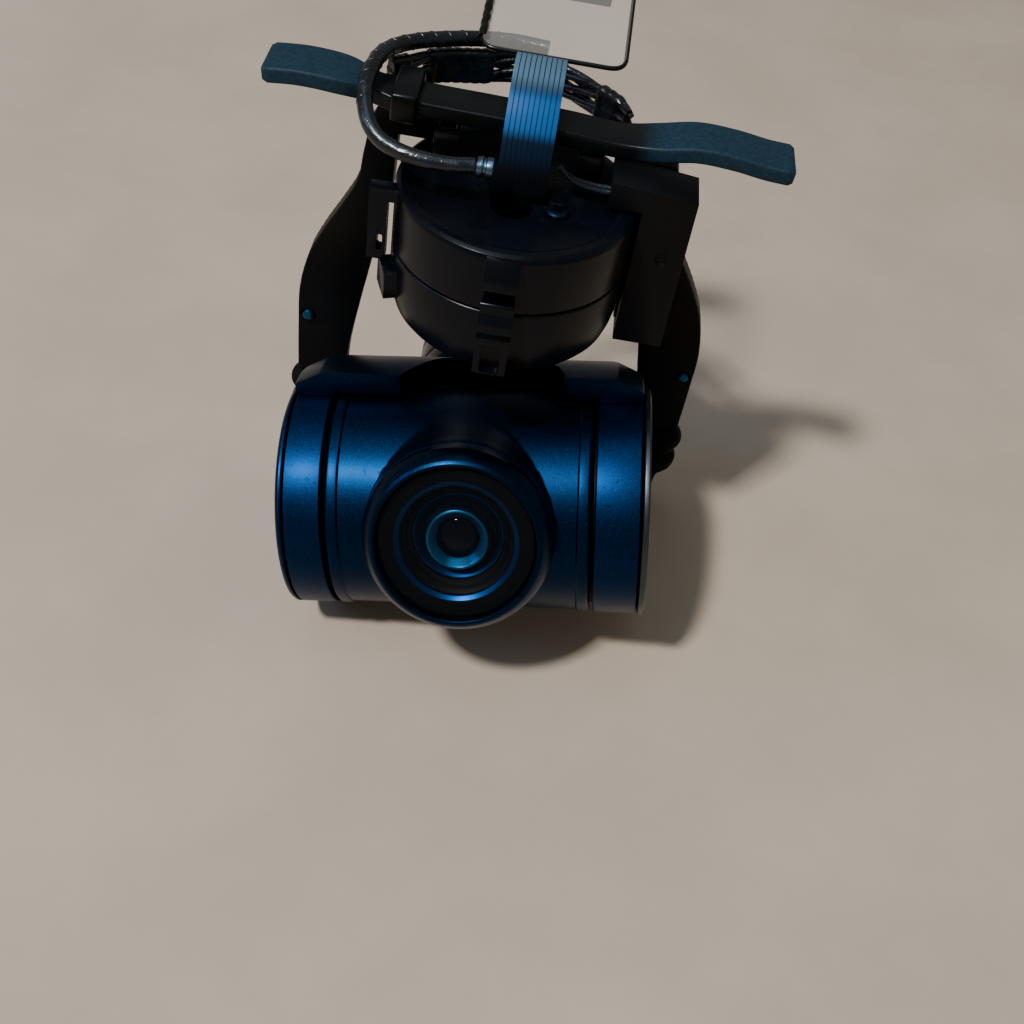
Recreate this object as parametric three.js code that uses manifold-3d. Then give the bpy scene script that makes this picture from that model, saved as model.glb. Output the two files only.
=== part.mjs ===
// Three-axis camera gimbal for a compact folding drone.
//
// Millimetres, +Z up. The origin is on the yaw axis, in the flat roof of the yaw housing.
// -Y is the way the lens looks when every joint is level. The pieces are drawn from a datum
// on the yaw axis at the height of the tilt axis, and the whole is then lowered to the roof.
// Four bodies: the mount (housing, hanger legs, suspension bar, flex), the yaw arm,
// the roll yoke and the tilting camera barrel.

import * as THREE from 'three';
import { mergeVertices } from 'three/addons/utils/BufferGeometryUtils.js';
import Module from 'manifold-3d';

const wasm = await Module();
wasm.setup();

// ---------------------------------------------------------------- driving dimensions

const FIT_GAP = 0.12;        // between two pieces that are fastened together
const RUN_GAP = 0.3;         // between two pieces that move past each other

// pose in which the limp gimbal lies
const YAW_REST = 1.8;        // degrees about +Z
const ROLL_REST = -9;        // degrees about the roll axis, right side up
const TILT_REST = 28;        // degrees, lens up

// camera barrel
const BARREL_R = 9;
const BARREL_WALL = 0.8;
const BARREL_Y = -4.7;       // tilt axis in front of the yaw axis
const BARREL_LEFT = 10.35;   // left end of the barrel
const BARREL_RIGHT = 9.8;    // right end of the barrel
const SHELL_SPLIT_Y = 0.6;   // the front shell ends here
const BAND_W = 1.1;          // raised band at each end of the shell
const BAND_H = 0.15;
const NECK_FLARE = 0.7;
const AXLE_R = 0.9;

// lens stack, from the front
const RING_R = 7.15;
const RING_WALL = 1.25;
const RING_LIP = 0.3;        // flat front edge of the ring
const RING_L = 2.8;
const RING_IN_R = RING_R - RING_WALL;
const RING_LIP_R = RING_IN_R + RING_LIP;
const NECK_R = RING_R + 0.15; // round boss that carries the lens ring
const NECK_Y = -BARREL_R;    // front of the boss
const LENS_SEAT = 0.85;      // width of the boss under the ring
const LENS_BORE_R = RING_R - LENS_SEAT;
const RING_FRONT_Y = NECK_Y - RING_L;
const GLASS_T = 0.35;
const GLASS_SINK = 0.3;      // glass below the ring's front edge
const MASK_W = 1.3;
const MASK_IN_R = RING_IN_R - MASK_W;
const MASK_T = 0.7;
const BAFFLE_LIP = 0.25;     // baffle mouth inside the mask
const BAFFLE_MOUTH_R = MASK_IN_R - BAFFLE_LIP;
const BAFFLE_THROAT_R = 2.75;
const BAFFLE_T = 1.3;
const CELL_R = 2.4;
const CELL_IN_R = 1.6;
const CELL_T = 1.5;
const OPTIC_R = 3.4;         // tube behind the front group
const OPTIC_L = 5.0;

// end caps of the yoke
const CAP_WALL = 0.8;
const CAP_DEEP = 3.75;       // from the longer end of the barrel to the outer faces of the caps
const CAP_OUT_X = Math.max(BARREL_LEFT, BARREL_RIGHT) + CAP_DEEP;
const CAP_DISC_T = 0.5;
const SEAM_GAP = 0.25;

// tilt motor in the left cap
const TILT_STATOR_R = 5.2;
const TILT_MAGNET_T = 0.8;

// yoke
const YOKE_T = 1.05;
const YOKE_HUMP = [0.45, 0.6]; // the band's outer face lies this far back and up
const YOKE_SLOPE = 2.9;      // the shoulders slope over this length
const YOKE_X = CAP_OUT_X - YOKE_SLOPE;
const YOKE_BACK_DEG = 120;   // how far the band wraps behind the barrel
const YOKE_FRONT_DEG = 11;    // the shoulder plates start this far behind the top
const YOKE_BOSS_R = 4.6;
const YOKE_BOSS_T = 1.5;
const NOTCH_LEFT = 5.3;      // inner corner of the left shoulder plate
const NOTCH_RIGHT = 7.4;
const NOTCH_BACK_L = 2.9;    // the notch narrows towards the back
const NOTCH_BACK_R = 5.2;

// roll motor
const ROLL_R = 6.2;
const ROLL_L = 4.5;
const ROLL_WALL = 0.7;
const ROLL_SHAFT_R = 1.2;
const ROLL_STATOR_R = 4.2;
const ROLL_MAGNET_T = 0.5;

// yaw motor housing
const DRUM_R = 8.4;
const DRUM_TOP = 26.3;
const DRUM_SEAM = 21.8;
const DRUM_BOTTOM = 16.1;
const DRUM_WALL = 0.8;
const DRUM_ROOF = 1.0;
const ROOF_DIP = 0.2;        // flat roof below the raised rim
const DRUM_FOOT_R = 7.5;
const DRUM_SEAM_GAP = 0.15;
const HUB_TUBE_R = 3.5;
const HUB_BORE_R = 2.85;
const YAW_SHAFT_R = 1.6;
const YAW_STATOR_R = 5.7;
const YAW_MAGNET_T = 0.63;
const FLEX_HOLE_R = 1.45;
const FLEX_HOLE_Y = -2.3;

// snap clips round the yaw housing
const CLIP_W = 2.3;
const CLIP_BAR = 0.5;
const LOOP_UP = 1.2;         // the loop reaches this far above the seam
const NOSE_T = 2.0;          // the nose under the rim that the loop snaps behind
const CLIP_T = 0.75;
const CLIP_DEG = -90;        // the open snap loop at the front
const CATCH_DEG = 201;       // the block that the ear hooks over
const CATCH_TOP = 20.3;
const CATCH_H = 2.1;

// yaw arm
const ARM_T = 1.4;
const ARM_W = 5.6;
const ARM_BOTTOM = -4.2;

// hanger legs, drawn in the X-Z plane outwards from LEG_X and swept back as they go down
const LEG_T = 1.8;
const LEG_STAND = 0.5;       // between the housing's wall and the top of the leg
const LEG_X = DRUM_R + LEG_STAND;
const LEG_TOP_Y = 4.6;
const LEG_FOOT_Y = 9.2;
const LEG_TOP_Z = 26.5;
const LEG_SWEEP_Z = 10;
const LEG_OUTER = [[2, 27.4], [2.5, 24.6], [3, 21.6], [4.4, 18.1], [6, 14.7], [7.4, 11.2], [8.1, 7.8],
  [8.2, 3.8], [8.2, -1.2]];
const LEG_INNER = [[4, -1.2], [3.8, 2], [3.2, 6], [2.5, 10], [1.9, 13.4], [1.2, 17], [0.5, 20.5], [0.2, 24.2],
  [0, 27.4]];
const DAMPER_R = 1.5;
const DAMPER_L = 5.6;
const TAIL_L = 4.6;

// suspension bar
const BAR_W = 3.8;
const BAR_Y = 3.1;
const BAR_T = 1.15;
const BAR_TOP = [[-18.1, 31.1], [-15.5, 31.3], [-12.6, 31.1], [-10, 30.5], [-7, 30.3], [-2, 30.2],
  [3, 30.0], [6.5, 29.8], [9, 30.1], [11.6, 30.6], [14.4, 30.5], [16.6, 30.2], [18.4, 30.1]];

// driver box at the right of the housing
const BOX_STAND = 0.2;       // between the housing's wall and the box
const BOX_T = 3.6;
const BOX_HEAD_L = 2.4;      // the head reaches this far over the roof
const BOX_X0 = DRUM_R + BOX_STAND;
const BOX_X1 = BOX_X0 + BOX_T;
const BOX_Y0 = -1.3;
const BOX_Y1 = 2.1;
const BOX_Z0 = 15.6;
const BOX_Z1 = 28;
const BOX_HEAD_X = BOX_X0 - BOX_HEAD_L;
const BOX_WALL = 0.5;

// flex ribbon and its connector panel
const FLEX_W = 3.5;
const FLEX_T = 0.3;
const FLEX_X = 0.2;
const FLEX_Y = -0.95;        // back face of the ribbon where it enters the housing
const PANEL_W = 10.2;
const PANEL_L = 12;
const PANEL_T = 0.5;
const PANEL_TILT = 12;       // degrees above level
const PANEL_X = 0.9;
const PANEL_Y = 7.8;
const PANEL_Z = 31.6;

const SEG = 32;              // facets of the large round pieces
const SEG_SMALL = 16;

// ---------------------------------------------------------------- helpers

const rad = THREE.MathUtils.degToRad;

// closed three.js geometry -> solid, always with its faces pointing out
function solid(geometry) {
  const g = geometry.index ? geometry.toNonIndexed() : geometry.clone();
  for (const key of Object.keys(g.attributes)) {
    if (key !== 'position') g.deleteAttribute(key);
  }
  const m = mergeVertices(g, 1e-4);
  const p = m.attributes.position.array;
  const src = m.index.array;
  const tri = [];
  let volume = 0;
  for (let i = 0; i < src.length; i += 3) {
    const [a, b, c] = [src[i], src[i + 1], src[i + 2]];
    if (a === b || b === c || a === c) continue;
    tri.push(a, b, c);
    const va = new THREE.Vector3().fromArray(p, a * 3);
    const vb = new THREE.Vector3().fromArray(p, b * 3);
    const vc = new THREE.Vector3().fromArray(p, c * 3);
    volume += va.dot(vb.cross(vc));
  }
  if (volume < 0) {
    for (let i = 0; i < tri.length; i += 3) {
      [tri[i + 1], tri[i + 2]] = [tri[i + 2], tri[i + 1]];
    }
  }
  return new wasm.Manifold(new wasm.Mesh({
    numProp: 3,
    vertProperties: Float32Array.from(p),
    triVerts: Uint32Array.from(tri),
  }));
}

function join(first, ...rest) {
  return rest.reduce((sum, s) => sum.add(s), first);
}

function cut(first, ...rest) {
  return rest.reduce((sum, s) => sum.subtract(s), first);
}

function toGeometry(manifold) {
  const mesh = manifold.getMesh();
  const g = new THREE.BufferGeometry();
  const verts = Float32Array.from(mesh.vertProperties);
  g.setAttribute('position', new THREE.BufferAttribute(verts, 3));
  g.setIndex(new THREE.BufferAttribute(Uint32Array.from(mesh.triVerts), 1));
  g.computeVertexNormals();
  return g;
}

// solid of revolution from a closed list of [radius, height] about the Y axis
function revolve(profile, seg = SEG) {
  const pts = profile.map(([r, h]) => new THREE.Vector2(r, h));
  pts.push(pts[0].clone());
  return new THREE.LatheGeometry(pts, seg);
}

const aboutY = (profile, seg) => solid(revolve(profile, seg));
const aboutZ = (profile, seg) => solid(revolve(profile, seg).rotateX(Math.PI / 2));
const aboutX = (profile, seg) => solid(revolve(profile, seg).rotateZ(-Math.PI / 2));

const ring = (inner, outer, h0, h1) => [[inner, h0], [outer, h0], [outer, h1], [inner, h1]];
const disc = (r, h0, h1) => [[0, h0], [r, h0], [r, h1], [0, h1]];

function block(x0, x1, y0, y1, z0, z1) {
  const g = new THREE.BoxGeometry(x1 - x0, y1 - y0, z1 - z0);
  return g.translate((x0 + x1) / 2, (y0 + y1) / 2, (z0 + z1) / 2);
}

const box = (...limits) => solid(block(...limits));

// flat outline [[u, v]...] pushed up from z0 to z1
function prism(outline, z0, z1) {
  const s = new THREE.Shape(outline.map(([u, v]) => new THREE.Vector2(u, v)));
  return new THREE.ExtrudeGeometry(s, { depth: z1 - z0, bevelEnabled: false }).translate(0, 0, z0);
}

function roundedOutline(x0, x1, y0, y1, r, steps = 4) {
  const pts = [];
  const corners = [[x1 - r, y1 - r, 0], [x0 + r, y1 - r, 90], [x0 + r, y0 + r, 180], [x1 - r, y0 + r, 270]];
  for (const [cx, cy, start] of corners) {
    for (let i = 0; i <= steps; i += 1) {
      const a = rad(start + (90 * i) / steps);
      pts.push([cx + r * Math.cos(a), cy + r * Math.sin(a)]);
    }
  }
  return pts;
}

// section swept along a curve through points; section [[across, up]...]
function sweep(points, section, steps) {
  const path = new THREE.CatmullRomCurve3(points.map((p) => new THREE.Vector3(...p)), false, 'centripetal');
  const s = new THREE.Shape(section.map(([u, v]) => new THREE.Vector2(u, v)));
  return new THREE.ExtrudeGeometry(s, { extrudePath: path, steps });
}

function roundSection(r, sides = 8) {
  return Array.from({ length: sides }, (_, i) => {
    const a = (2 * Math.PI * i) / sides;
    return [r * Math.cos(a), r * Math.sin(a)];
  });
}

// strip of constant width along X or Y whose top follows a smooth line
function smoothLine(points, count) {
  const path = new THREE.CatmullRomCurve3(points.map(([a, b]) => new THREE.Vector3(a, b, 0)), false, 'centripetal');
  return path.getPoints(count).map((v) => [v.x, v.y]);
}

function strip(centre, thickness, count) {
  const line = smoothLine(centre, count);
  const top = [];
  const bottom = [];
  line.forEach(([a, b], i) => {
    const [a0, b0] = line[Math.max(i - 1, 0)];
    const [a1, b1] = line[Math.min(i + 1, line.length - 1)];
    const len = Math.hypot(a1 - a0, b1 - b0);
    const nx = -(b1 - b0) / len;
    const ny = (a1 - a0) / len;
    top.push([a, b]);
    bottom.push([a - nx * thickness, b - ny * thickness]);
  });
  return [...top, ...bottom.reverse()];
}

function material(color, roughness, metalness) {
  return new THREE.MeshStandardMaterial({ color, roughness, metalness });
}

const look = {
  shell: () => material(0x1b2630, 0.45, 0.1),
  cap: () => material(0x173048, 0.38, 0.5),
  drum: () => material(0x201d1c, 0.5, 0.05),
  leg: () => material(0x14181b, 0.6, 0),
  rubber: () => material(0x0d1012, 0.8, 0),
  bar: () => material(0x1a3c4c, 0.7, 0),
  cable: () => material(0x0b0d0f, 0.25, 0),
  flex: () => material(0x1f5f8f, 0.4, 0.2),
  panel: () => material(0xbfc4c8, 0.4, 0.3),
  steel: () => material(0x9aa3aa, 0.3, 1),
  magnet: () => material(0x6d7378, 0.35, 1),
  copper: () => material(0x8a4f2a, 0.4, 0.9),
  black: () => material(0x08090a, 0.35, 0),
  glass: () => material(0x10161c, 0.05, 0),
  board: () => material(0x12382a, 0.6, 0),
  silver: () => material(0x7fa4bd, 0.25, 0.9),
};

const mount = new THREE.Group();
const yaw = new THREE.Group();
const roll = new THREE.Group();
const tilt = new THREE.Group();
mount.add(yaw);
yaw.add(roll);
roll.add(tilt);
yaw.rotation.z = rad(YAW_REST);
roll.rotation.y = rad(ROLL_REST);
tilt.position.y = BARREL_Y;
tilt.rotation.x = -rad(TILT_REST);

function piece(body, name, shape, finish) {
  const geometry = shape.isBufferGeometry ? shape : toGeometry(shape);
  const mesh = new THREE.Mesh(geometry, look[finish]());
  mesh.name = name;
  body.add(mesh);
  return mesh;
}

// small cross-head screw standing along +Y, its head top at height zero
function screw(headR, headT, shankR, length) {
  const head = aboutY([[0, -length], [shankR, -length], [shankR, -headT], [headR, -headT],
    [headR, -0.12], [headR - 0.12, 0], [0, 0]], 10);
  const slot = headR * 0.6;
  const cross = join(box(-slot, slot, -0.18, 0.1, -0.1, 0.1), box(-0.1, 0.1, -0.18, 0.1, -slot, slot));
  return toGeometry(cut(head, cross));
}

// laminated core with teeth, about the Y axis
function statorCore(inner, outer, h0, h1, teeth) {
  const hub = inner + (outer - inner) * 0.35;
  let core = aboutY(ring(inner, hub, h0, h1), 24);
  const toothW = (Math.PI * outer) / teeth * 0.75;
  for (let i = 0; i < teeth; i += 1) {
    const g = block(inner + 0.1, outer * 0.985, h0, h1, -toothW / 2, toothW / 2);
    core = core.add(solid(g.rotateY((2 * Math.PI * i) / teeth)));
  }
  return core;
}

// ---------------------------------------------------------------- camera barrel (tilt body)

{
  const L = -BARREL_LEFT;
  const R = BARREL_RIGHT;
  const w = BARREL_WALL;
  const low = BARREL_R - BAND_H;
  const inner = low - w;
  const outside = [[0, L], [BARREL_R - 0.3, L], [BARREL_R, L + 0.3], [BARREL_R, L + BAND_W],
    [low, L + BAND_W + 0.15], [low, R - BAND_W - 0.15], [BARREL_R, R - BAND_W], [BARREL_R, R - 0.3],
    [BARREL_R - 0.3, R], [0, R]];
  const can = cut(
    aboutX(outside),
    aboutX(disc(inner, L + w, R - w)),
    aboutX(disc(AXLE_R + FIT_GAP, L - 1, R + 1), SEG_SMALL),
  );
  const room = 2 * BARREL_R;
  const frontHalf = box(-room, room, -room, SHELL_SPLIT_Y, -room, room);
  const backHalf = box(-room, room, SHELL_SPLIT_Y + FIT_GAP, room, -room, room);

  // the boss flares out where it leaves the barrel
  const neckProfile = [[0, NECK_Y + 4.5], [NECK_R + NECK_FLARE, NECK_Y + 4.5],
    [NECK_R + NECK_FLARE * 0.55, NECK_Y + 3], [NECK_R + NECK_FLARE * 0.2, NECK_Y + 1.8], [NECK_R, NECK_Y + 0.4], [NECK_R - 0.1, NECK_Y], [0, NECK_Y]];
  const neck = aboutY(neckProfile).subtract(aboutX(disc(inner, L + w, R - w)));
  const bore = aboutY(disc(LENS_BORE_R, -room, -3));
  const front = can.intersect(frontHalf).add(neck).subtract(bore);
  piece(tilt, 'barrel_front_shell', front, 'shell');

  const vents = [-2, -1, 0, 1, 2].map((i) => box(i * 1.6 - 0.35, i * 1.6 + 0.35, 0, room, -2.4, 2.4));
  const screwSeat = 6.6;
  const holes = [-screwSeat, screwSeat].map((x) => solid(
    revolve(disc(0.55, 0, room), 12).translate(x, 0, 0)));
  piece(tilt, 'barrel_rear_shell', cut(can.intersect(backHalf), ...vents, ...holes), 'shell');

  // lens stack, each stage set behind the one before it
  const ringBack = NECK_Y - FIT_GAP;
  const ringProfile = [[RING_IN_R, ringBack], [RING_R - 0.15, ringBack], [RING_R, ringBack - 0.2],
    [RING_R, RING_FRONT_Y + 1.7], [RING_R - 0.12, RING_FRONT_Y + 1.1], [RING_R - 0.38, RING_FRONT_Y + 0.6],
    [RING_R - 0.65, RING_FRONT_Y + 0.25],
    [RING_LIP_R, RING_FRONT_Y], [RING_LIP_R - 0.2, RING_FRONT_Y], [RING_IN_R, RING_FRONT_Y + 0.2]];
  piece(tilt, 'lens_ring', aboutY(ringProfile), 'cap');

  const glassR = RING_IN_R - FIT_GAP;
  const glassBack = RING_FRONT_Y + GLASS_SINK + GLASS_T;
  piece(tilt, 'lens_window', aboutY(disc(glassR, RING_FRONT_Y + GLASS_SINK, glassBack)), 'glass');

  const maskFront = glassBack + FIT_GAP;
  const maskBack = maskFront + MASK_T;
  piece(tilt, 'lens_mask', aboutY([[MASK_IN_R, maskFront], [glassR, maskFront], [glassR, maskBack],
    [MASK_IN_R - 0.25, maskBack]]), 'black');

  const baffleFront = maskBack + FIT_GAP;
  const baffleBack = baffleFront + BAFFLE_T;
  piece(tilt, 'lens_baffle', aboutY([[BAFFLE_MOUTH_R, baffleFront], [glassR, baffleFront],
    [glassR, baffleBack], [BAFFLE_THROAT_R, baffleBack], [BAFFLE_THROAT_R, baffleBack - 0.25],
    [(BAFFLE_MOUTH_R + BAFFLE_THROAT_R) / 2, baffleBack - 0.4],
    [(BAFFLE_MOUTH_R + BAFFLE_THROAT_R) / 2, baffleFront + 0.5]], 20), 'black');

  const cellBack = baffleBack - 0.1;
  const cellFront = cellBack - CELL_T;
  piece(tilt, 'lens_cell', aboutY([[CELL_IN_R, cellFront + 0.55], [CELL_R - 0.25, cellFront],
    [CELL_R, cellFront + 0.2], [CELL_R, cellBack], [CELL_IN_R, cellBack]], 24), 'silver');
  const domeR = CELL_IN_R - FIT_GAP;
  piece(tilt, 'lens_element', aboutY([[0, cellFront + 0.55], [domeR * 0.5, cellFront + 0.62],
    [domeR * 0.85, cellFront + 0.82], [domeR, cellFront + 1.0], [domeR, cellBack], [0, cellBack]], 24), 'glass');

  const opticFront = baffleBack + FIT_GAP;
  const opticBack = opticFront + OPTIC_L;
  piece(tilt, 'lens_tube', aboutY([[0, opticFront], [OPTIC_R + 1.1, opticFront],
    [OPTIC_R + 1.1, opticFront + 0.8], [OPTIC_R, opticFront + 0.8], [OPTIC_R, opticBack],
    [0, opticBack]], 24), 'black');
  const boardFront = opticBack + FIT_GAP;
  piece(tilt, 'sensor_board', box(-6.2, 6.2, boardFront, boardFront + 0.8, -4.6, 4.6), 'board');
  const sinkFront = boardFront + 0.8 + FIT_GAP;
  const fins = [-2, -1, 0, 1, 2].map((i) => box(i * 2.1 - 0.3, i * 2.1 + 0.3, sinkFront + 0.9,
    sinkFront + 2.6, -3.9, 3.9));
  piece(tilt, 'heat_spreader', join(box(-5, 5, sinkFront, sinkFront + 1, -4.2, 4.2), ...fins), 'steel');

  // tilt axles and the magnet ring of the tilt motor
  const axleIn = 1.2;
  const capWeb = CAP_OUT_X - CAP_DISC_T - FIT_GAP;
  const axleOut = capWeb - CAP_WALL * 0.5;
  piece(tilt, 'tilt_axle_left', aboutX([[0, -axleOut], [AXLE_R, -axleOut], [AXLE_R, L + w],
    [AXLE_R + 0.6, L + w + FIT_GAP], [AXLE_R + 0.6, L + w + axleIn], [0, L + w + axleIn]], SEG_SMALL), 'steel');
  piece(tilt, 'tilt_axle_right', aboutX([[0, R - w - axleIn], [AXLE_R + 0.6, R - w - axleIn],
    [AXLE_R + 0.6, R - w - FIT_GAP], [AXLE_R, R - w], [AXLE_R, axleOut], [0, axleOut]], SEG_SMALL), 'steel');
  piece(tilt, 'tilt_magnet_ring', aboutX(ring(TILT_STATOR_R + RUN_GAP, TILT_STATOR_R + RUN_GAP + TILT_MAGNET_T,
    -(capWeb - CAP_WALL - RUN_GAP), L - FIT_GAP), 24), 'magnet');
}

// ---------------------------------------------------------------- yoke (roll body)

{
  const inR = BARREL_R + RUN_GAP + 0.05;
  const outR = inR + YOKE_T;
  const capR = BARREL_R + FIT_GAP;
  const web = CAP_OUT_X - CAP_DISC_T - FIT_GAP;
  const lining = aboutX([[0, -web - 1], [capR, -web - 1], [capR, -BARREL_LEFT - SEAM_GAP],
    [inR, -BARREL_LEFT - SEAM_GAP], [inR, BARREL_RIGHT + SEAM_GAP], [capR, BARREL_RIGHT + SEAM_GAP],
    [capR, web + 1], [0, web + 1]], 36);
  const outer = revolve([[0, -web], [capR + 0.35, -web], [outR, -YOKE_X], [outR, YOKE_X],
    [capR + 0.35, web], [0, web]], 36).rotateZ(-Math.PI / 2).translate(0, ...YOKE_HUMP);
  const band = solid(outer).subtract(lining);
  const far = 40;
  const ray = (deg) => [Math.sin(rad(deg)) * far, Math.cos(rad(deg)) * far];
  const missing = [[0, 0]];
  for (let d = YOKE_FRONT_DEG; d > YOKE_BACK_DEG - 360; d -= 12) missing.push(ray(d));
  missing.push(ray(YOKE_BACK_DEG - 360));
  const wedge = solid(prism(missing, -far, far).rotateY(Math.PI / 2).rotateX(Math.PI / 2));
  const frontY = outR * Math.sin(rad(YOKE_FRONT_DEG));
  const notch = [[-NOTCH_LEFT, 0], [-NOTCH_LEFT, frontY], [-NOTCH_BACK_L, frontY + 3.6],
    [-NOTCH_BACK_L + 0.9, frontY + 4.6], [NOTCH_BACK_R - 0.9, frontY + 5.2], [NOTCH_BACK_R, frontY + 4.4],
    [NOTCH_RIGHT - 0.5, frontY + 2.2], [NOTCH_RIGHT, frontY + 0.9], [NOTCH_RIGHT, 0]];
  const opening = solid(prism(notch, 2.5, far));
  const arm = band.subtract(wedge).subtract(opening);
  const bossFront = inR + 0.2 + BARREL_Y;
  const boss = aboutY(disc(YOKE_BOSS_R, bossFront - BARREL_Y, bossFront + YOKE_BOSS_T - BARREL_Y), 24);
  const shaftHole = aboutY(disc(ROLL_SHAFT_R + FIT_GAP, 0, far), SEG_SMALL);
  piece(roll, 'yoke_arm', arm.add(boss).subtract(shaftHole), 'shell').position.y = BARREL_Y;

  // end caps: cups with a central boss, closed outside by thin discs
  const leftSeam = BARREL_LEFT + SEAM_GAP;
  const rightSeam = BARREL_RIGHT + SEAM_GAP;
  const bossR = 1.9;
  const left = cut(
    aboutX([[0, -web], [BARREL_R, -web], [BARREL_R, -leftSeam - 0.25], [BARREL_R - 0.25, -leftSeam],
      [BARREL_R - CAP_WALL, -leftSeam], [BARREL_R - CAP_WALL, -web + CAP_WALL], [bossR, -web + CAP_WALL],
      [bossR, -leftSeam - 0.2], [0, -leftSeam - 0.2]]),
    aboutX(disc(AXLE_R + RUN_GAP, -web - 1, 0), SEG_SMALL),
  );
  piece(roll, 'yoke_cap_left', left, 'cap').position.y = BARREL_Y;
  const seatR = 2.1;
  const right = cut(
    aboutX([[0, rightSeam + 0.4], [seatR + 0.7, rightSeam + 0.4], [seatR + 0.7, web - CAP_WALL],
      [BARREL_R - CAP_WALL, web - CAP_WALL], [BARREL_R - CAP_WALL, rightSeam], [BARREL_R - 0.25, rightSeam],
      [BARREL_R, rightSeam + 0.25], [BARREL_R, web], [0, web]]),
    aboutX(disc(seatR, 0, web - CAP_WALL), 24),
    aboutX(disc(AXLE_R + RUN_GAP, 0, web + 1), SEG_SMALL),
  );
  piece(roll, 'yoke_cap_right', right, 'cap').position.y = BARREL_Y;
  const out = CAP_OUT_X;
  piece(roll, 'cap_disc_left', aboutX([[0, -out], [BARREL_R - 0.45, -out], [BARREL_R - 0.12, -out + 0.15],
    [BARREL_R, -out + CAP_DISC_T], [0, -out + CAP_DISC_T]]), 'cap').position.y = BARREL_Y;
  piece(roll, 'cap_disc_right', aboutX([[0, out - CAP_DISC_T], [BARREL_R, out - CAP_DISC_T],
    [BARREL_R + 0.08, out - 0.12], [BARREL_R - 0.1, out], [0, out]]), 'panel').position.y = BARREL_Y;

  piece(roll, 'tilt_bearing', aboutX(ring(AXLE_R + FIT_GAP, seatR - FIT_GAP, rightSeam + 0.9,
    web - CAP_WALL - FIT_GAP), 24), 'steel').position.y = BARREL_Y;
  const tiltCore = toGeometry(statorCore(bossR + FIT_GAP, TILT_STATOR_R, leftSeam + 0.35,
    web - CAP_WALL - FIT_GAP, 9)).rotateZ(Math.PI / 2);
  piece(roll, 'tilt_stator', solid(tiltCore), 'copper').position.y = BARREL_Y;

  // screws that hold the shoulders to the caps
  [[-9.0, 66, 'left'], [9.0, 66, 'right']].forEach(([x, deg, side]) => {
    const s = piece(roll, `yoke_screw_${side}`, screw(0.95, 0.45, 0.45, 0.46), 'steel');
    s.rotation.x = rad(90 - deg);
    const r = outR + 0.46 + FIT_GAP;
    s.position.set(x, BARREL_Y + YOKE_HUMP[0] + r * Math.sin(rad(deg)), YOKE_HUMP[1] + r * Math.cos(rad(deg)));
  });
}

// ---------------------------------------------------------------- roll motor

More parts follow.
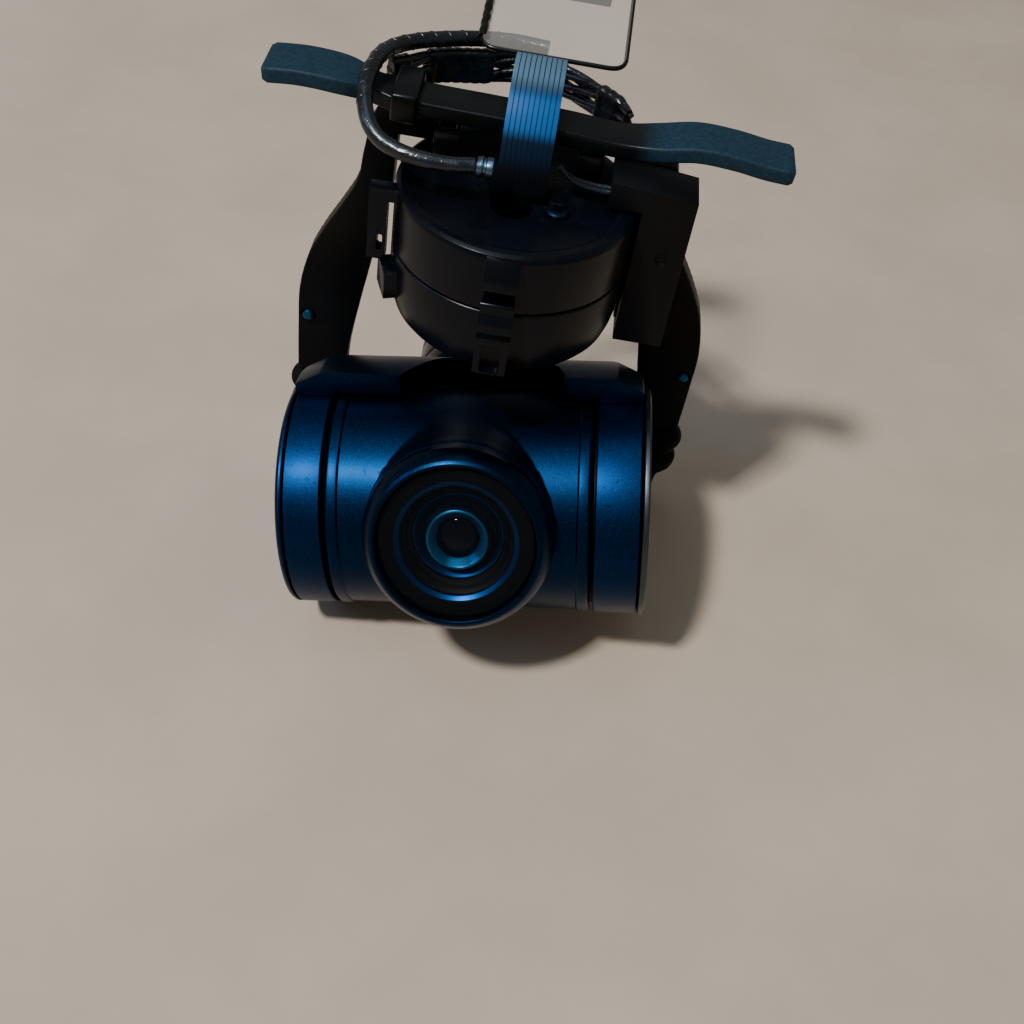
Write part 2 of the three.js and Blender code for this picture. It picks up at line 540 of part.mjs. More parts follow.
{
  const yokeBack = BARREL_Y + BARREL_R + RUN_GAP + 0.05 + 0.2 + YOKE_BOSS_T;
  const y0 = yokeBack + RUN_GAP;
  const y1 = y0 + ROLL_L;
  const tubeR = ROLL_SHAFT_R + RUN_GAP + 0.75;
  const tubeWall = 0.5;
  const bellIn = ROLL_STATOR_R + RUN_GAP + ROLL_MAGNET_T + FIT_GAP;
  piece(yaw, 'roll_housing', aboutY([[tubeR, y0], [ROLL_R - 0.3, y0], [ROLL_R, y0 + 0.3], [ROLL_R, y1],
    [ROLL_R - ROLL_WALL, y1], [ROLL_R - ROLL_WALL, y0 + ROLL_WALL], [tubeR + tubeWall, y0 + ROLL_WALL],
    [tubeR + tubeWall, y1 - 1.5], [tubeR, y1 - 1.5]]), 'drum');
  piece(yaw, 'roll_bearing', aboutY(ring(ROLL_SHAFT_R + FIT_GAP, tubeR - FIT_GAP, y0 + 0.3, y1 - 1.8), 24), 'steel');
  piece(yaw, 'roll_stator', statorCore(tubeR + tubeWall + FIT_GAP, ROLL_STATOR_R, y0 + ROLL_WALL + 0.5,
    y1 - 1.5, 9), 'copper');
  piece(roll, 'roll_magnet_ring', aboutY(ring(ROLL_STATOR_R + RUN_GAP, ROLL_STATOR_R + RUN_GAP + ROLL_MAGNET_T,
    y0 + ROLL_WALL + 0.5, y1 - 1.35), 24), 'magnet');
  piece(roll, 'roll_rotor', aboutY([[0, yokeBack - YOKE_BOSS_T + 0.2], [ROLL_SHAFT_R, yokeBack - YOKE_BOSS_T + 0.2],
    [ROLL_SHAFT_R, y1 - 1.15], [bellIn, y1 - 1.15], [bellIn, y0 + ROLL_WALL + 0.5],
    [bellIn + 0.2, y0 + ROLL_WALL + 0.5], [bellIn + 0.2, y1 - 0.6], [0, y1 - 0.6]], 24), 'steel');

  // yaw arm: hub under the yaw motor, level reach to the back, then down to the roll motor
  const armTop = DRUM_BOTTOM - RUN_GAP - 0.05;
  const under = armTop - ARM_T;
  const back0 = y1 + FIT_GAP;
  const back1 = back0 + ARM_T;
  const bend = 2.2;
  const profile = [[-1, under], [back0 - bend, under], [back0 - 0.6, under - 0.6], [back0, under - bend],
    [back0, ARM_BOTTOM], [back1, ARM_BOTTOM], [back1, armTop - bend - 0.6], [back1 - 0.85, armTop - 0.85],
    [back1 - bend - 0.6, armTop], [-1, armTop]];
  const reach = solid(prism(profile, -ARM_W / 2, ARM_W / 2).rotateY(Math.PI / 2).rotateX(Math.PI / 2));
  const hub = aboutZ(disc(3.9, under, armTop), 24);
  const cover = aboutY(disc(ROLL_R, back0, back1), 24);
  const shaft = aboutZ(disc(YAW_SHAFT_R + FIT_GAP, under - 1, armTop + 1), 24);
  const slotZ = (armTop + ROLL_R) / 2 + 0.6;
  const slot = solid(prism(roundedOutline(-1.1, 1.1, slotZ - 1.9, slotZ + 1.9, 1), 0, 20)
    .rotateX(Math.PI / 2).translate(0, 20, 0));
  const screwPts = [[-4.6, 0], [4.6, 0]];
  const screwHoles = screwPts.map(([x, z]) => solid(
    revolve(disc(0.55, back0 - 1, back1 + 1), 12).translate(x, 0, z)));
  piece(yaw, 'yaw_arm', cut(join(reach, hub, cover), shaft, slot, ...screwHoles), 'shell');
  screwPts.forEach(([x, z], i) => {
    piece(yaw, `roll_cover_screw_${i + 1}`, screw(0.9, 0.4, 0.4, 1.5), 'steel')
      .position.set(x, back1 + 0.4 + FIT_GAP, z);
  });
}

// ---------------------------------------------------------------- yaw motor and its housing (mount)

{
  const seamLow = DRUM_SEAM - DRUM_SEAM_GAP;
  const wallIn = DRUM_R - DRUM_WALL;
  const ceiling = DRUM_TOP - DRUM_ROOF;
  const clipOut = DRUM_R + CLIP_T;

  // upper housing with a wedge catch at each clip
  let upper = aboutZ([[0, ceiling], [wallIn, ceiling], [wallIn, DRUM_SEAM], [DRUM_R, DRUM_SEAM],
    [DRUM_R, DRUM_TOP - 0.4], [DRUM_R - 0.12, DRUM_TOP - 0.12], [DRUM_R - 0.4, DRUM_TOP],
    [DRUM_R - 1.0, DRUM_TOP], [DRUM_R - 1.2, DRUM_TOP - ROOF_DIP], [0, DRUM_TOP - ROOF_DIP]]);
  const noseTop = DRUM_TOP - 0.4;
  const catchShape = [[0, noseTop - NOSE_T], [CLIP_T, noseTop - NOSE_T], [CLIP_T, noseTop - NOSE_T + 0.6],
    [0.25, noseTop - 0.1], [0, noseTop]].map(([a, b]) => [a + DRUM_R - 0.3, b]);
  const catchW = CLIP_W;
  upper = upper.add(solid(
    prism(catchShape, -catchW / 2, catchW / 2).rotateX(Math.PI / 2).rotateZ(rad(CLIP_DEG))));
  // ear: an arm from the rim that stands off the wall and hooks down over the catch block
  const earX = -DRUM_R - 1.4;
  const earY = -2.9;
  const ear = box(earX, -7.3, earY, earY + 1.0, CATCH_TOP + 0.35, DRUM_TOP - 0.15);
  const earSlot = box(earX + 0.6, earX + 1.35, earY - 1, earY + 2, CATCH_TOP + 1.0, CATCH_TOP + 2.5);
  const earRelief = aboutZ(disc(DRUM_R + FIT_GAP, 0, DRUM_SEAM + 0.2));
  const flexHole = join(
    solid(revolve(disc(FLEX_HOLE_R, 0, 40), 18).rotateX(Math.PI / 2).translate(-0.2, FLEX_HOLE_Y, 0)),
    box(FLEX_X - FLEX_W / 2 - RUN_GAP, FLEX_X + FLEX_W / 2 + RUN_GAP, FLEX_Y - 0.65,
      FLEX_Y + 0.35, 10, 40),
  );
  upper = cut(join(upper, cut(ear, earRelief)), earSlot, flexHole.intersect(box(-9, 9, -9, 9, ceiling - 1, 40)),
    solid(revolve(disc(0.5, ceiling - 1, 40), 12).rotateX(Math.PI / 2).translate(2.9, -2.4, 0)));
  piece(mount, 'yaw_housing_upper', upper, 'drum');
  const s = piece(mount, 'housing_screw', screw(0.8, 0.35, 0.38, 1.3), 'steel');
  s.rotation.x = Math.PI / 2;
  s.position.set(2.9, -2.4, DRUM_TOP - ROOF_DIP + 0.35 + FIT_GAP);

  // lower cup with the stator tube, and a snap loop at each clip
  const floorTop = DRUM_BOTTOM + DRUM_WALL;
  let lower = aboutZ([[HUB_BORE_R, DRUM_BOTTOM], [DRUM_FOOT_R - 0.3, DRUM_BOTTOM], [DRUM_FOOT_R + 0.15, DRUM_BOTTOM + 0.2],
    [DRUM_R - 0.4, DRUM_BOTTOM + 0.9], [DRUM_R - 0.15, DRUM_BOTTOM + 1.8], [DRUM_R, DRUM_BOTTOM + 3.2],
    [DRUM_R, seamLow], [wallIn, seamLow], [wallIn, DRUM_BOTTOM + 2.2], [DRUM_FOOT_R - 0.9, floorTop],
    [HUB_TUBE_R, floorTop], [HUB_TUBE_R, seamLow - 0.3], [HUB_BORE_R, seamLow - 0.3]]);
  const loopTop = DRUM_SEAM + LOOP_UP - FIT_GAP;
  const loopLow = DRUM_BOTTOM + 0.4;
  const frameOut = [[DRUM_R + FIT_GAP, loopTop - 0.1], [clipOut, loopTop - 0.1], [clipOut + 0.15, DRUM_SEAM - 0.6],
    [clipOut, loopLow + 0.4], [clipOut - 0.3, loopLow], [DRUM_R - 0.6, loopLow], [DRUM_R - 0.6, DRUM_BOTTOM + 2.6],
    [DRUM_R - 0.2, seamLow - 0.6], [DRUM_R + FIT_GAP, seamLow - 0.2]];
  const solidLoop = solid(prism(frameOut, -CLIP_W / 2, CLIP_W / 2).rotateX(Math.PI / 2).rotateZ(rad(CLIP_DEG)));
  const w2 = CLIP_W / 2 - CLIP_BAR;
  const windows = [[DRUM_R + 0.05, loopLow + 0.8, DRUM_SEAM - 1.9]]
    .map(([r, z0, z1]) => solid(block(r, clipOut + 1, -w2, w2, z0, z1).rotateZ(rad(CLIP_DEG))));
  const catchBlock = solid(
    block(DRUM_R - 0.4, DRUM_R + 0.85, -CLIP_W / 2, CLIP_W / 2, CATCH_TOP - CATCH_H, CATCH_TOP).rotateZ(rad(CATCH_DEG)));
  lower = join(lower, cut(solidLoop, ...windows), catchBlock);
  const vent = [0, 1, 2, 3, 4, 5].map((i) => solid(
    revolve(disc(0.7, 0, floorTop + 2), 12).rotateX(Math.PI / 2).translate(5.4, 0, 0).rotateZ(rad(60 * i + 30))));
  lower = cut(lower, ...vent);
  piece(mount, 'yaw_housing_lower', lower, 'drum');

  piece(mount, 'yaw_bearing_lower', aboutZ(ring(YAW_SHAFT_R + FIT_GAP, HUB_BORE_R - FIT_GAP, DRUM_BOTTOM + 0.2,
    DRUM_BOTTOM + 1.7), 18), 'steel');
  piece(mount, 'yaw_bearing_upper', aboutZ(ring(YAW_SHAFT_R + FIT_GAP, HUB_BORE_R - FIT_GAP, seamLow - 2.1,
    seamLow - 0.6), 18), 'steel');
  const core = toGeometry(statorCore(HUB_TUBE_R + FIT_GAP, YAW_STATOR_R, DRUM_BOTTOM + 2.3, seamLow - 0.3, 9));
  piece(mount, 'yaw_stator', solid(core.rotateX(Math.PI / 2)), 'copper');

  const magnetIn = YAW_STATOR_R + RUN_GAP;
  const bellIn = magnetIn + YAW_MAGNET_T + FIT_GAP;
  const bellTop = ceiling - 1.4;
  const armUnder = DRUM_BOTTOM - RUN_GAP - 0.05 - ARM_T;
  piece(yaw, 'yaw_magnet_ring', aboutZ(ring(magnetIn, magnetIn + YAW_MAGNET_T, DRUM_BOTTOM + 2.3,
    bellTop - 0.6 - FIT_GAP), 24), 'magnet');
  piece(yaw, 'yaw_rotor', aboutZ([[0.9, armUnder + 0.15], [YAW_SHAFT_R, armUnder + 0.15], [YAW_SHAFT_R, bellTop - 0.6],
    [bellIn, bellTop - 0.6], [bellIn, DRUM_BOTTOM + 2.3], [bellIn + 0.35, DRUM_BOTTOM + 2.3],
    [bellIn + 0.35, bellTop], [0.9, bellTop]], 24), 'steel');
}

// ---------------------------------------------------------------- driver box at the right (mount)

{
  const body = join(
    solid(prism(roundedOutline(BOX_X0, BOX_X1, BOX_Y0, BOX_Y1, 0.35, 2), BOX_Z0, BOX_Z1)),
    box(BOX_HEAD_X, BOX_X1 - 1, BOX_Y0, BOX_Y1, DRUM_TOP + RUN_GAP, BOX_Z1),
  );
  const insideY = BOX_Y1 - BOX_WALL;
  const hollow = box(BOX_X0 + BOX_WALL, BOX_X1 - BOX_WALL, BOX_Y0 + BOX_WALL, BOX_Y1 + 1, BOX_Z0 + BOX_WALL,
    BOX_Z1 - BOX_WALL);
  const leadHole = box(BOX_HEAD_X - 1, BOX_X0 + BOX_WALL + 0.1, BOX_Y0 + 0.6, BOX_Y0 + 1.7, DRUM_TOP + 0.65,
    DRUM_TOP + 1.25);
  const dent = solid(revolve(disc(0.45, BOX_Y0 - 1, BOX_Y0 + 0.2), 16).translate(BOX_X0 + 2, 0, 23.2));
  piece(mount, 'driver_box', cut(body, hollow, leadHole, dent), 'drum');
  piece(mount, 'driver_lid', box(BOX_X0 + BOX_WALL + FIT_GAP, BOX_X1 - BOX_WALL - FIT_GAP, insideY, BOX_Y1,
    BOX_Z0 + BOX_WALL + FIT_GAP, BOX_Z1 - BOX_WALL - FIT_GAP), 'black');
  piece(mount, 'driver_board', box(BOX_X0 + 0.9, BOX_X1 - 0.9, BOX_Y0 + 1, BOX_Y0 + 1.6, BOX_Z0 + 1.1,
    BOX_Z1 - 2.2), 'board');

  // two motor leads from the flex hole into the head of the box
  [0, 1].forEach((i) => {
    const z = DRUM_TOP + 0.95;
    const y = BOX_Y0 + 0.9 + 0.5 * i;
    const r = 0.2;
    piece(mount, `motor_lead_${i + 1}`, sweep([[FLEX_X + FLEX_W / 2 + 0.6, -0.9 + i * 0.5, z + 1.6 - i * 0.4],
      [3.6, y - 0.2, z + 0.5 - i * 0.1], [BOX_HEAD_X - 1, y, z], [BOX_HEAD_X + 1.2, y, z]],
    roundSection(r, 6), 8), 'cable');
  });
}

// ---------------------------------------------------------------- hanger legs and dampers (mount)

[-1, 1].forEach((side) => {
  const label = side < 0 ? 'left' : 'right';
  const outline = [...smoothLine(LEG_OUTER, 20), ...smoothLine(LEG_INNER, 20)];
  const g = prism(outline.map(([x, z]) => [(x + LEG_X) * side, z]), -LEG_T / 2, LEG_T / 2).rotateX(Math.PI / 2);
  const pos = g.attributes.position;
  for (let i = 0; i < pos.count; i += 1) {
    const t = THREE.MathUtils.clamp((LEG_TOP_Z - pos.getZ(i)) / (LEG_TOP_Z - LEG_SWEEP_Z), 0, 1);
    const eased = t * t * (3 - 2 * t);
    pos.setY(i, pos.getY(i) + LEG_TOP_Y + (LEG_FOOT_Y - LEG_TOP_Y) * eased);
  }
  // flange that sits on the roof of the housing
  const edges = [(DRUM_R - 2) * side, (LEG_X + 2) * side];
  const flange = box(Math.min(...edges), Math.max(...edges), LEG_TOP_Y - LEG_T / 2, LEG_TOP_Y + LEG_T / 2,
    DRUM_TOP + FIT_GAP, DRUM_TOP + 1.2);
  const footX = (LEG_X + 6.2) * side;
  const pinX = (LEG_X + 7.3) * side;
  const pinZ = 5.2;
  const pinHole = solid(revolve(disc(0.62, 0, 30), 14).translate(pinX, 0, pinZ));
  const footHole = solid(revolve(disc(DAMPER_R * 0.55, -20, 4), 16).rotateX(Math.PI / 2)
    .translate(footX, LEG_FOOT_Y, 0));
  piece(mount, `hanger_leg_${label}`, cut(join(solid(g), flange), pinHole), 'leg');
  const pin = aboutY([[0, LEG_FOOT_Y - LEG_T / 2 - 0.35], [0.45, LEG_FOOT_Y - LEG_T / 2 - 0.35],
    [0.5, LEG_FOOT_Y - LEG_T / 2 - 0.1], [0.5, LEG_FOOT_Y + LEG_T / 2 + 0.3], [0, LEG_FOOT_Y + LEG_T / 2 + 0.3]], 14);
  piece(mount, `leg_pin_${label}`, pin, 'silver').position.set(pinX, 0, pinZ);

  // rubber damper under the foot: two bulbs and a pull tail
  const top = -1.2 - FIT_GAP;
  const bulb = [[0, top], [DAMPER_R * 0.85, top], [DAMPER_R * 1.2, top - 0.7], [DAMPER_R * 1.2, top - 1.5],
    [DAMPER_R * 0.8, top - 2.1], [DAMPER_R * 0.8, top - 2.8], [DAMPER_R * 1.15, top - 3.4],
    [DAMPER_R * 1.1, top - 4.4], [DAMPER_R * 0.55, top - DAMPER_L], [0.35, top - DAMPER_L - TAIL_L], [0, top - DAMPER_L - TAIL_L]];
  piece(mount, `damper_${label}`, aboutZ(bulb, 16), 'rubber').position.set(footX + 0.9 * side, LEG_FOOT_Y, 0);
});

// ---------------------------------------------------------------- suspension bar (mount)

{
  const outline = strip(BAR_TOP, BAR_T, 32);
  const g = prism(outline, -BAR_W / 2, BAR_W / 2).rotateX(Math.PI / 2).translate(0, BAR_Y, 0);
  piece(mount, 'suspension_bar', solid(g), 'bar');
  // two posts carry the bar over the roof, a saddle grips it inside the cable loop
  [[-5.4, 'left'], [4.6, 'right']].forEach(([x, side]) => {
    const post = join(
      box(x - 0.9, x + 0.9, BAR_Y - 1.4, BAR_Y + 1.2, DRUM_TOP + FIT_GAP, 28.35),
      box(x - 0.6, x + 0.6, BAR_Y - 1.0, BAR_Y + 0.8, 28.2, 28.6),
    );
    piece(mount, `bar_post_${side}`, post, 'black');
  });
  const sx = -8.4;
  const saddle = cut(
    box(sx - 1.2, sx + 1.2, BAR_Y - BAR_W / 2 - 0.7, BAR_Y + BAR_W / 2 + 0.7, 28.6, 31.1),
    box(sx - 2, sx + 2, BAR_Y - BAR_W / 2 - FIT_GAP, BAR_Y + BAR_W / 2 + FIT_GAP, 28.0, 30.6),
  );
  piece(mount, 'bar_saddle', saddle, 'bar');
}

// ---------------------------------------------------------------- cable loop (mount)

{
  // flat bundle round the back, ends behind the bar at both sides
  const flat = roundedOutline(-1.3, 1.3, -0.45, 0.45, 0.4, 2);
  piece(mount, 'cable_bundle', sweep([[-10.1, 5.9, 29.6], [-9.0, 7.0, 29.5], [-7.0, 8.9, 29.3], [-4.4, 9.9, 29.2],
    [-1.9, 10.6, 29.2], [1.6, 10.2, 29.1], [4.4, 8.3, 29.1], [6.3, 6.6, 29.0], [6.8, 5.7, 28.9]], flat, 26), 'cable');
  // single lead over the neck of the bar and round the front
  piece(mount, 'cable_lead', sweep([[0.5, 10.3, 31.2], [-2.0, 10.5, 31.2], [-4.6, 9.9, 31.35], [-6.9, 8.8, 31.6],
    [-8.4, 7.7, 31.7], [-9.8, 6.3, 31.8],
    [-10.6, 4.6, 31.9], [-10.9, 2.8, 31.9], [-11.0, 1.0, 31.6], [-10.7, -0.6, 30.8], [-10.1, -1.8, 30.1], [-9.1, -2.6, 29.5], [-6.9, -3.3, 29.2], [-4.5, -3.3, 29.1], [-3.0, -3.0, 29.1]],
  roundSection(0.6, 8), 28), 'cable');
  const ferrule = aboutX(disc(0.72, -2.8, -1.7), 14);
  piece(mount, 'cable_ferrule', ferrule, 'steel').position.set(0, -2.95, 29.1);
}

// ---------------------------------------------------------------- flex ribbon and panel (mount)

{
  const path = [[FLEX_Y, DRUM_TOP - DRUM_ROOF + 0.1], [FLEX_Y, 26.6], [-0.6, 28.6], [0.1, 30.4], [1.4, 32.0],
    [3.4, 33.0], [5.6, 32.9], [7.4, 32.1]];
  const outline = strip(path, FLEX_T, 28);
  const g = prism(outline, -FLEX_W / 2, FLEX_W / 2).rotateY(Math.PI / 2).rotateX(Math.PI / 2);
  piece(mount, 'flex_ribbon', solid(g.translate(FLEX_X, 0, 0)), 'flex');
  const panel = new THREE.Group();
  panel.position.set(PANEL_X, PANEL_Y, PANEL_Z);
  panel.rotation.x = rad(PANEL_TILT);
  mount.add(panel);
  const half = PANEL_W / 2;
  piece(panel, 'flex_panel', prism(roundedOutline(-half, half, 0, PANEL_L, 1.2), 0, PANEL_T), 'panel');
  piece(panel, 'flex_connector', join(
    box(-3.6, 3.6, PANEL_L - 3.5, PANEL_L - 0.5, -1.3, -FIT_GAP),
    box(-3.1, 3.1, PANEL_L - 3.1, PANEL_L - 0.9, -1.6, -1.2),
  ), 'black');
}

// ---------------------------------------------------------------- origin in the roof

const gimbal = new THREE.Group();
gimbal.add(mount);
mount.position.z = -(DRUM_TOP - ROOF_DIP);

export default gimbal;
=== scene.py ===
# %% [markdown]
# # A three-axis camera gimbal
# This lesson dresses the imported CAD model of a small drone's camera gimbal. The CAD model gives
# every size and every joint; here each visible piece gets its fine shape and its finish.
# We begin by loading the CAD model and keeping its box, so that at the end the dressed model's box can be printed
# beside it.

import math

import bmesh
import bpy
from mathutils import Matrix, Vector


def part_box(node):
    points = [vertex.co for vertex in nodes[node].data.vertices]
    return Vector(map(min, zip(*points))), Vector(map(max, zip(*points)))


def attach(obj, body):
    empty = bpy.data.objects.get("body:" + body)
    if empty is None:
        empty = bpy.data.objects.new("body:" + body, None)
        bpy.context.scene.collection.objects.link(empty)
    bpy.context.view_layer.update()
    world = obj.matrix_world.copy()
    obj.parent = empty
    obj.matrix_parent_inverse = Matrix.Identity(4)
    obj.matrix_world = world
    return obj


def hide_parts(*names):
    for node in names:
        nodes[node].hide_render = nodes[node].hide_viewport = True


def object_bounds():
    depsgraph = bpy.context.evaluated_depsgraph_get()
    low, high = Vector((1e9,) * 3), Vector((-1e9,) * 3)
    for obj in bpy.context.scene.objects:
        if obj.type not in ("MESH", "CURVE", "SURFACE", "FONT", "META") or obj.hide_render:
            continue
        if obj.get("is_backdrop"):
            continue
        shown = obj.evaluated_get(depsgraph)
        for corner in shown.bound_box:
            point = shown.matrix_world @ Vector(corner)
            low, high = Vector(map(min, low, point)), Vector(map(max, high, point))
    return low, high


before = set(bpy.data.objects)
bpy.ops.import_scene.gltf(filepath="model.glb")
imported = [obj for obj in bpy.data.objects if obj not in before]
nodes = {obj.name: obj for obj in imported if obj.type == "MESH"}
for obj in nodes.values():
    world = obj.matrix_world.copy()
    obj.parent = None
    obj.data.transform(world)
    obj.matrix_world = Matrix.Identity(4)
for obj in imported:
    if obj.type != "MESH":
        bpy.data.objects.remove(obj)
cad_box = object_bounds()
dressed = set()
print("CAD nodes:", len(nodes))

# %% [markdown]
# ## Measures and rest pose
# All lengths below are in millimetres and are turned to metres at the last moment. The pieces are
# drawn from a datum on the yaw axis, level with the tilt axis; the roof of the yaw housing is the
# model's origin, so everything is lowered by `ROOF`. The gimbal lies limp, with its joints a little
# off level. Each body's rest pose is one matrix, and a piece drawn level is multiplied by it.

# %% Rest pose of the four bodies
MM = 0.001
ROOF = 26.1
BARREL_Y = -4.7
YAW, ROLL, TILT = (math.radians(a) for a in (1.8, -9.0, 28.0))


def shift(x, y, z):
    return Matrix.Translation((x, y, z))


def turn(angle, axis):
    return Matrix.Rotation(angle, 4, axis)


AT = {"mount": shift(0, 0, -ROOF)}
AT["yaw"] = AT["mount"] @ turn(YAW, "Z")
AT["roll"] = AT["yaw"] @ turn(ROLL, "Y")
AT["barrel"] = AT["roll"] @ shift(0, BARREL_Y, 0)
AT["tilt"] = AT["barrel"] @ turn(-TILT, "X")
BODY = {"mount": "mount", "yaw": "yaw", "roll": "roll", "barrel": "roll", "tilt": "tilt"}
low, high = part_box("yaw_housing_upper")
print("drum radius by the CAD box:", round(high.x / MM, 2), "mm")

# %% [markdown]
# ## Camera
# The gimbal is looked at from in front and above, about 47 degrees up, with a 44 mm lens from a
# hand's width away, which gives the strong foreshortening of a close view. The camera is rolled,
# because the mount lies tipped to one side.

# %% Camera
LENS = 43.98
EYE_AZ, EYE_EL, EYE_ROLL, EYE_DIST = (math.radians(-1.797), math.radians(47.0), math.radians(10.681), 101.81)
AIM = (-0.03209, 0.01294)

back = Vector((math.sin(EYE_AZ) * math.cos(EYE_EL), -math.cos(EYE_AZ) * math.cos(EYE_EL), math.sin(EYE_EL)))
level = (-back).cross(Vector((0, 0, 1))).normalized()
upright = level.cross(-back)
right = level * math.cos(EYE_ROLL) + upright * math.sin(EYE_ROLL)
up = -level * math.sin(EYE_ROLL) + upright * math.cos(EYE_ROLL)
centre = Vector((0.108, -4.713, -ROOF))
eye = centre - (-back + right * AIM[0] + up * AIM[1]) * EYE_DIST
camera_data = bpy.data.cameras.new("camera")
camera_data.lens = LENS
camera_data.sensor_width = 36
camera_data.clip_start = 0.005
camera = bpy.data.objects.new("camera", camera_data)
bpy.context.scene.collection.objects.link(camera)
camera.matrix_world = Matrix((
    (right.x, up.x, back.x, eye.x * MM),
    (right.y, up.y, back.y, eye.y * MM),
    (right.z, up.z, back.z, eye.z * MM),
    (0, 0, 0, 1),
))
bpy.context.scene.camera = camera
print("camera stands at", [round(c, 1) for c in eye], "mm")

# %% [markdown]
# ## Shapes from outlines
# Almost every piece of a moulded gimbal is a turned profile, a flat outline with thickness, or a
# section swept along a line. A sharp CAD corner never catches the light, so `soften` rounds the
# corners of an outline before it is turned or pushed out; that is where the thin bright edge
# lines of the real object come from.

# %% Rounded outlines


def soften(points, radius=0.12, steps=3, closed=True):
    """The outline with each corner replaced by a short curve. Points on the axis stay."""
    out = []
    n = len(points)
    for i, point in enumerate(points):
        p = Vector(point)
        if (not closed and i in (0, n - 1)) or abs(p.x) < 1e-6:
            out.append(p)
            continue
        a = Vector(points[i - 1]) - p
        b = Vector(points[(i + 1) % n]) - p
        if a.length < 1e-6 or b.length < 1e-6:
            continue
        bend = a.angle(b)
        if bend > math.radians(170):
            out.append(p)
            continue
        d = min(radius / math.tan(bend / 2), a.length * 0.45, b.length * 0.45)
        start, end = p + a.normalized() * d, p + b.normalized() * d
        for k in range(steps + 1):
            t = k / steps
            out.append(start * (1 - t) ** 2 + p * 2 * t * (1 - t) + end * t * t)
    return [tuple(p) for p in out]


def rounded_box(x0, x1, y0, y1, r, steps=5):
    return soften([(x1, y1), (x0, y1), (x0, y0), (x1, y0)], r, steps)


def spline(points, count):
    """A smooth line through the points (centripetal Catmull-Rom)."""
    pts = [Vector(p) for p in points]
    pts = [pts[0] * 2 - pts[1]] + pts + [pts[-1] * 2 - pts[-2]]
    knots = [0.0]
    for a, b in zip(pts, pts[1:]):
        knots.append(knots[-1] + max((b - a).length, 1e-6) ** 0.5)
    out = []
    for s in range(count + 1):
        t = knots[1] + (knots[-2] - knots[1]) * s / count
        i = max(j for j in range(1, len(pts) - 2) if knots[j] <= t + 1e-9)

        def between(a, b, ta, tb):
            return a * ((tb - t) / (tb - ta)) + b * ((t - ta) / (tb - ta))

        k = knots[i - 1:i + 3]
        q = pts[i - 1:i + 3]
        a1, a2, a3 = (between(q[j], q[j + 1], k[j], k[j + 1]) for j in range(3))
        b1, b2 = between(a1, a2, k[0], k[2]), between(a2, a3, k[1], k[3])
        out.append(between(b1, b2, k[1], k[2]))
    return out


print("a square gains", len(soften([(1, 1), (2, 1), (2, 2), (1, 2)])) - 4, "points")

# %% [markdown]
# ## Turning, pushing out, sweeping and carving
# These four builders make closed meshes. `carve` and `weld` use the exact Boolean modifier and
# apply it at once, so no live modifier is left. `finish_edges` bevels what is still sharp.

# %% Mesh builders
AXES = {
    "x": Matrix(((0, 0, 1), (1, 0, 0), (0, 1, 0))).to_4x4(),
    "y": Matrix(((0, 1, 0), (0, 0, 1), (1, 0, 0))).to_4x4(),
    "z": Matrix(((1, 0, 0), (0, 1, 0), (0, 0, 1))).to_4x4(),
}


def to_object(name, bm, at=Matrix(), flip_check=True):
    bmesh.ops.remove_doubles(bm, verts=bm.verts, dist=1e-5)
    if flip_check:
        bmesh.ops.recalc_face_normals(bm, faces=bm.faces)
    bmesh.ops.transform(bm, matrix=Matrix.Scale(MM, 4) @ at, verts=bm.verts)
    mesh = bpy.data.meshes.new(name)
    bm.to_mesh(mesh)
    bm.free()
    obj = bpy.data.objects.new(name, mesh)
    bpy.context.scene.collection.objects.link(obj)
    return obj


def turned(name, profile, axis="z", at=Matrix(), seg=128, arc=None, soft=0.12, closed=True):
    """Solid of revolution from (radius, height). arc=(from, to) in degrees makes a capped part of it."""
    pts = soften(profile, soft) if soft else profile
    bm = bmesh.new()
    whole = arc is None
    a0, a1 = (0, 360) if whole else arc
    count = seg if whole else max(3, int(seg * abs(a1 - a0) / 360)) + 1
    rings = []
    for i in range(count):
        a = math.radians(a0 + (a1 - a0) * i / (seg if whole else count - 1))
        rings.append([bm.verts.new((r * math.cos(a), r * math.sin(a), h)) for r, h in pts])
    pairs = zip(rings, rings[1:] + rings[:1]) if whole else zip(rings, rings[1:])
    for ring_a, ring_b in pairs:
        n = len(pts)
        for k in range(n if closed else n - 1):
            m = (k + 1) % n
            if pts[k][0] < 1e-6 and pts[m][0] < 1e-6:
                continue
            bm.faces.new((ring_a[k], ring_b[k], ring_b[m], ring_a[m]))
    if not whole:
        bm.faces.new(rings[0])
        bm.faces.new(rings[-1])
    bmesh.ops.remove_doubles(bm, verts=bm.verts, dist=1e-5)
    return to_object(name, bm, at @ AXES[axis])


def pushed(name, outline, z0, z1, at=Matrix()):
    """Flat outline with thickness along Z."""
    bm = bmesh.new()
    low_ring = [bm.verts.new((x, y, z0)) for x, y in outline]
    high_ring = [bm.verts.new((x, y, z1)) for x, y in outline]
    bm.faces.new(low_ring)
    bm.faces.new(high_ring)
    n = len(outline)
    for k in range(n):
        m = (k + 1) % n
        bm.faces.new((low_ring[k], low_ring[m], high_ring[m], high_ring[k]))
    return to_object(name, bm, at)


def block(name, x0, x1, y0, y1, z0, z1, at=Matrix()):
    return pushed(name, [(x0, y0), (x1, y0), (x1, y1), (x0, y1)], z0, z1, at)


def apply_modifiers(obj):
    graph = bpy.context.evaluated_depsgraph_get()
    graph.update()
    mesh = bpy.data.meshes.new_from_object(obj.evaluated_get(graph))
    old = obj.data
    obj.modifiers.clear()
    obj.data = mesh
    bpy.data.meshes.remove(old)
    return obj


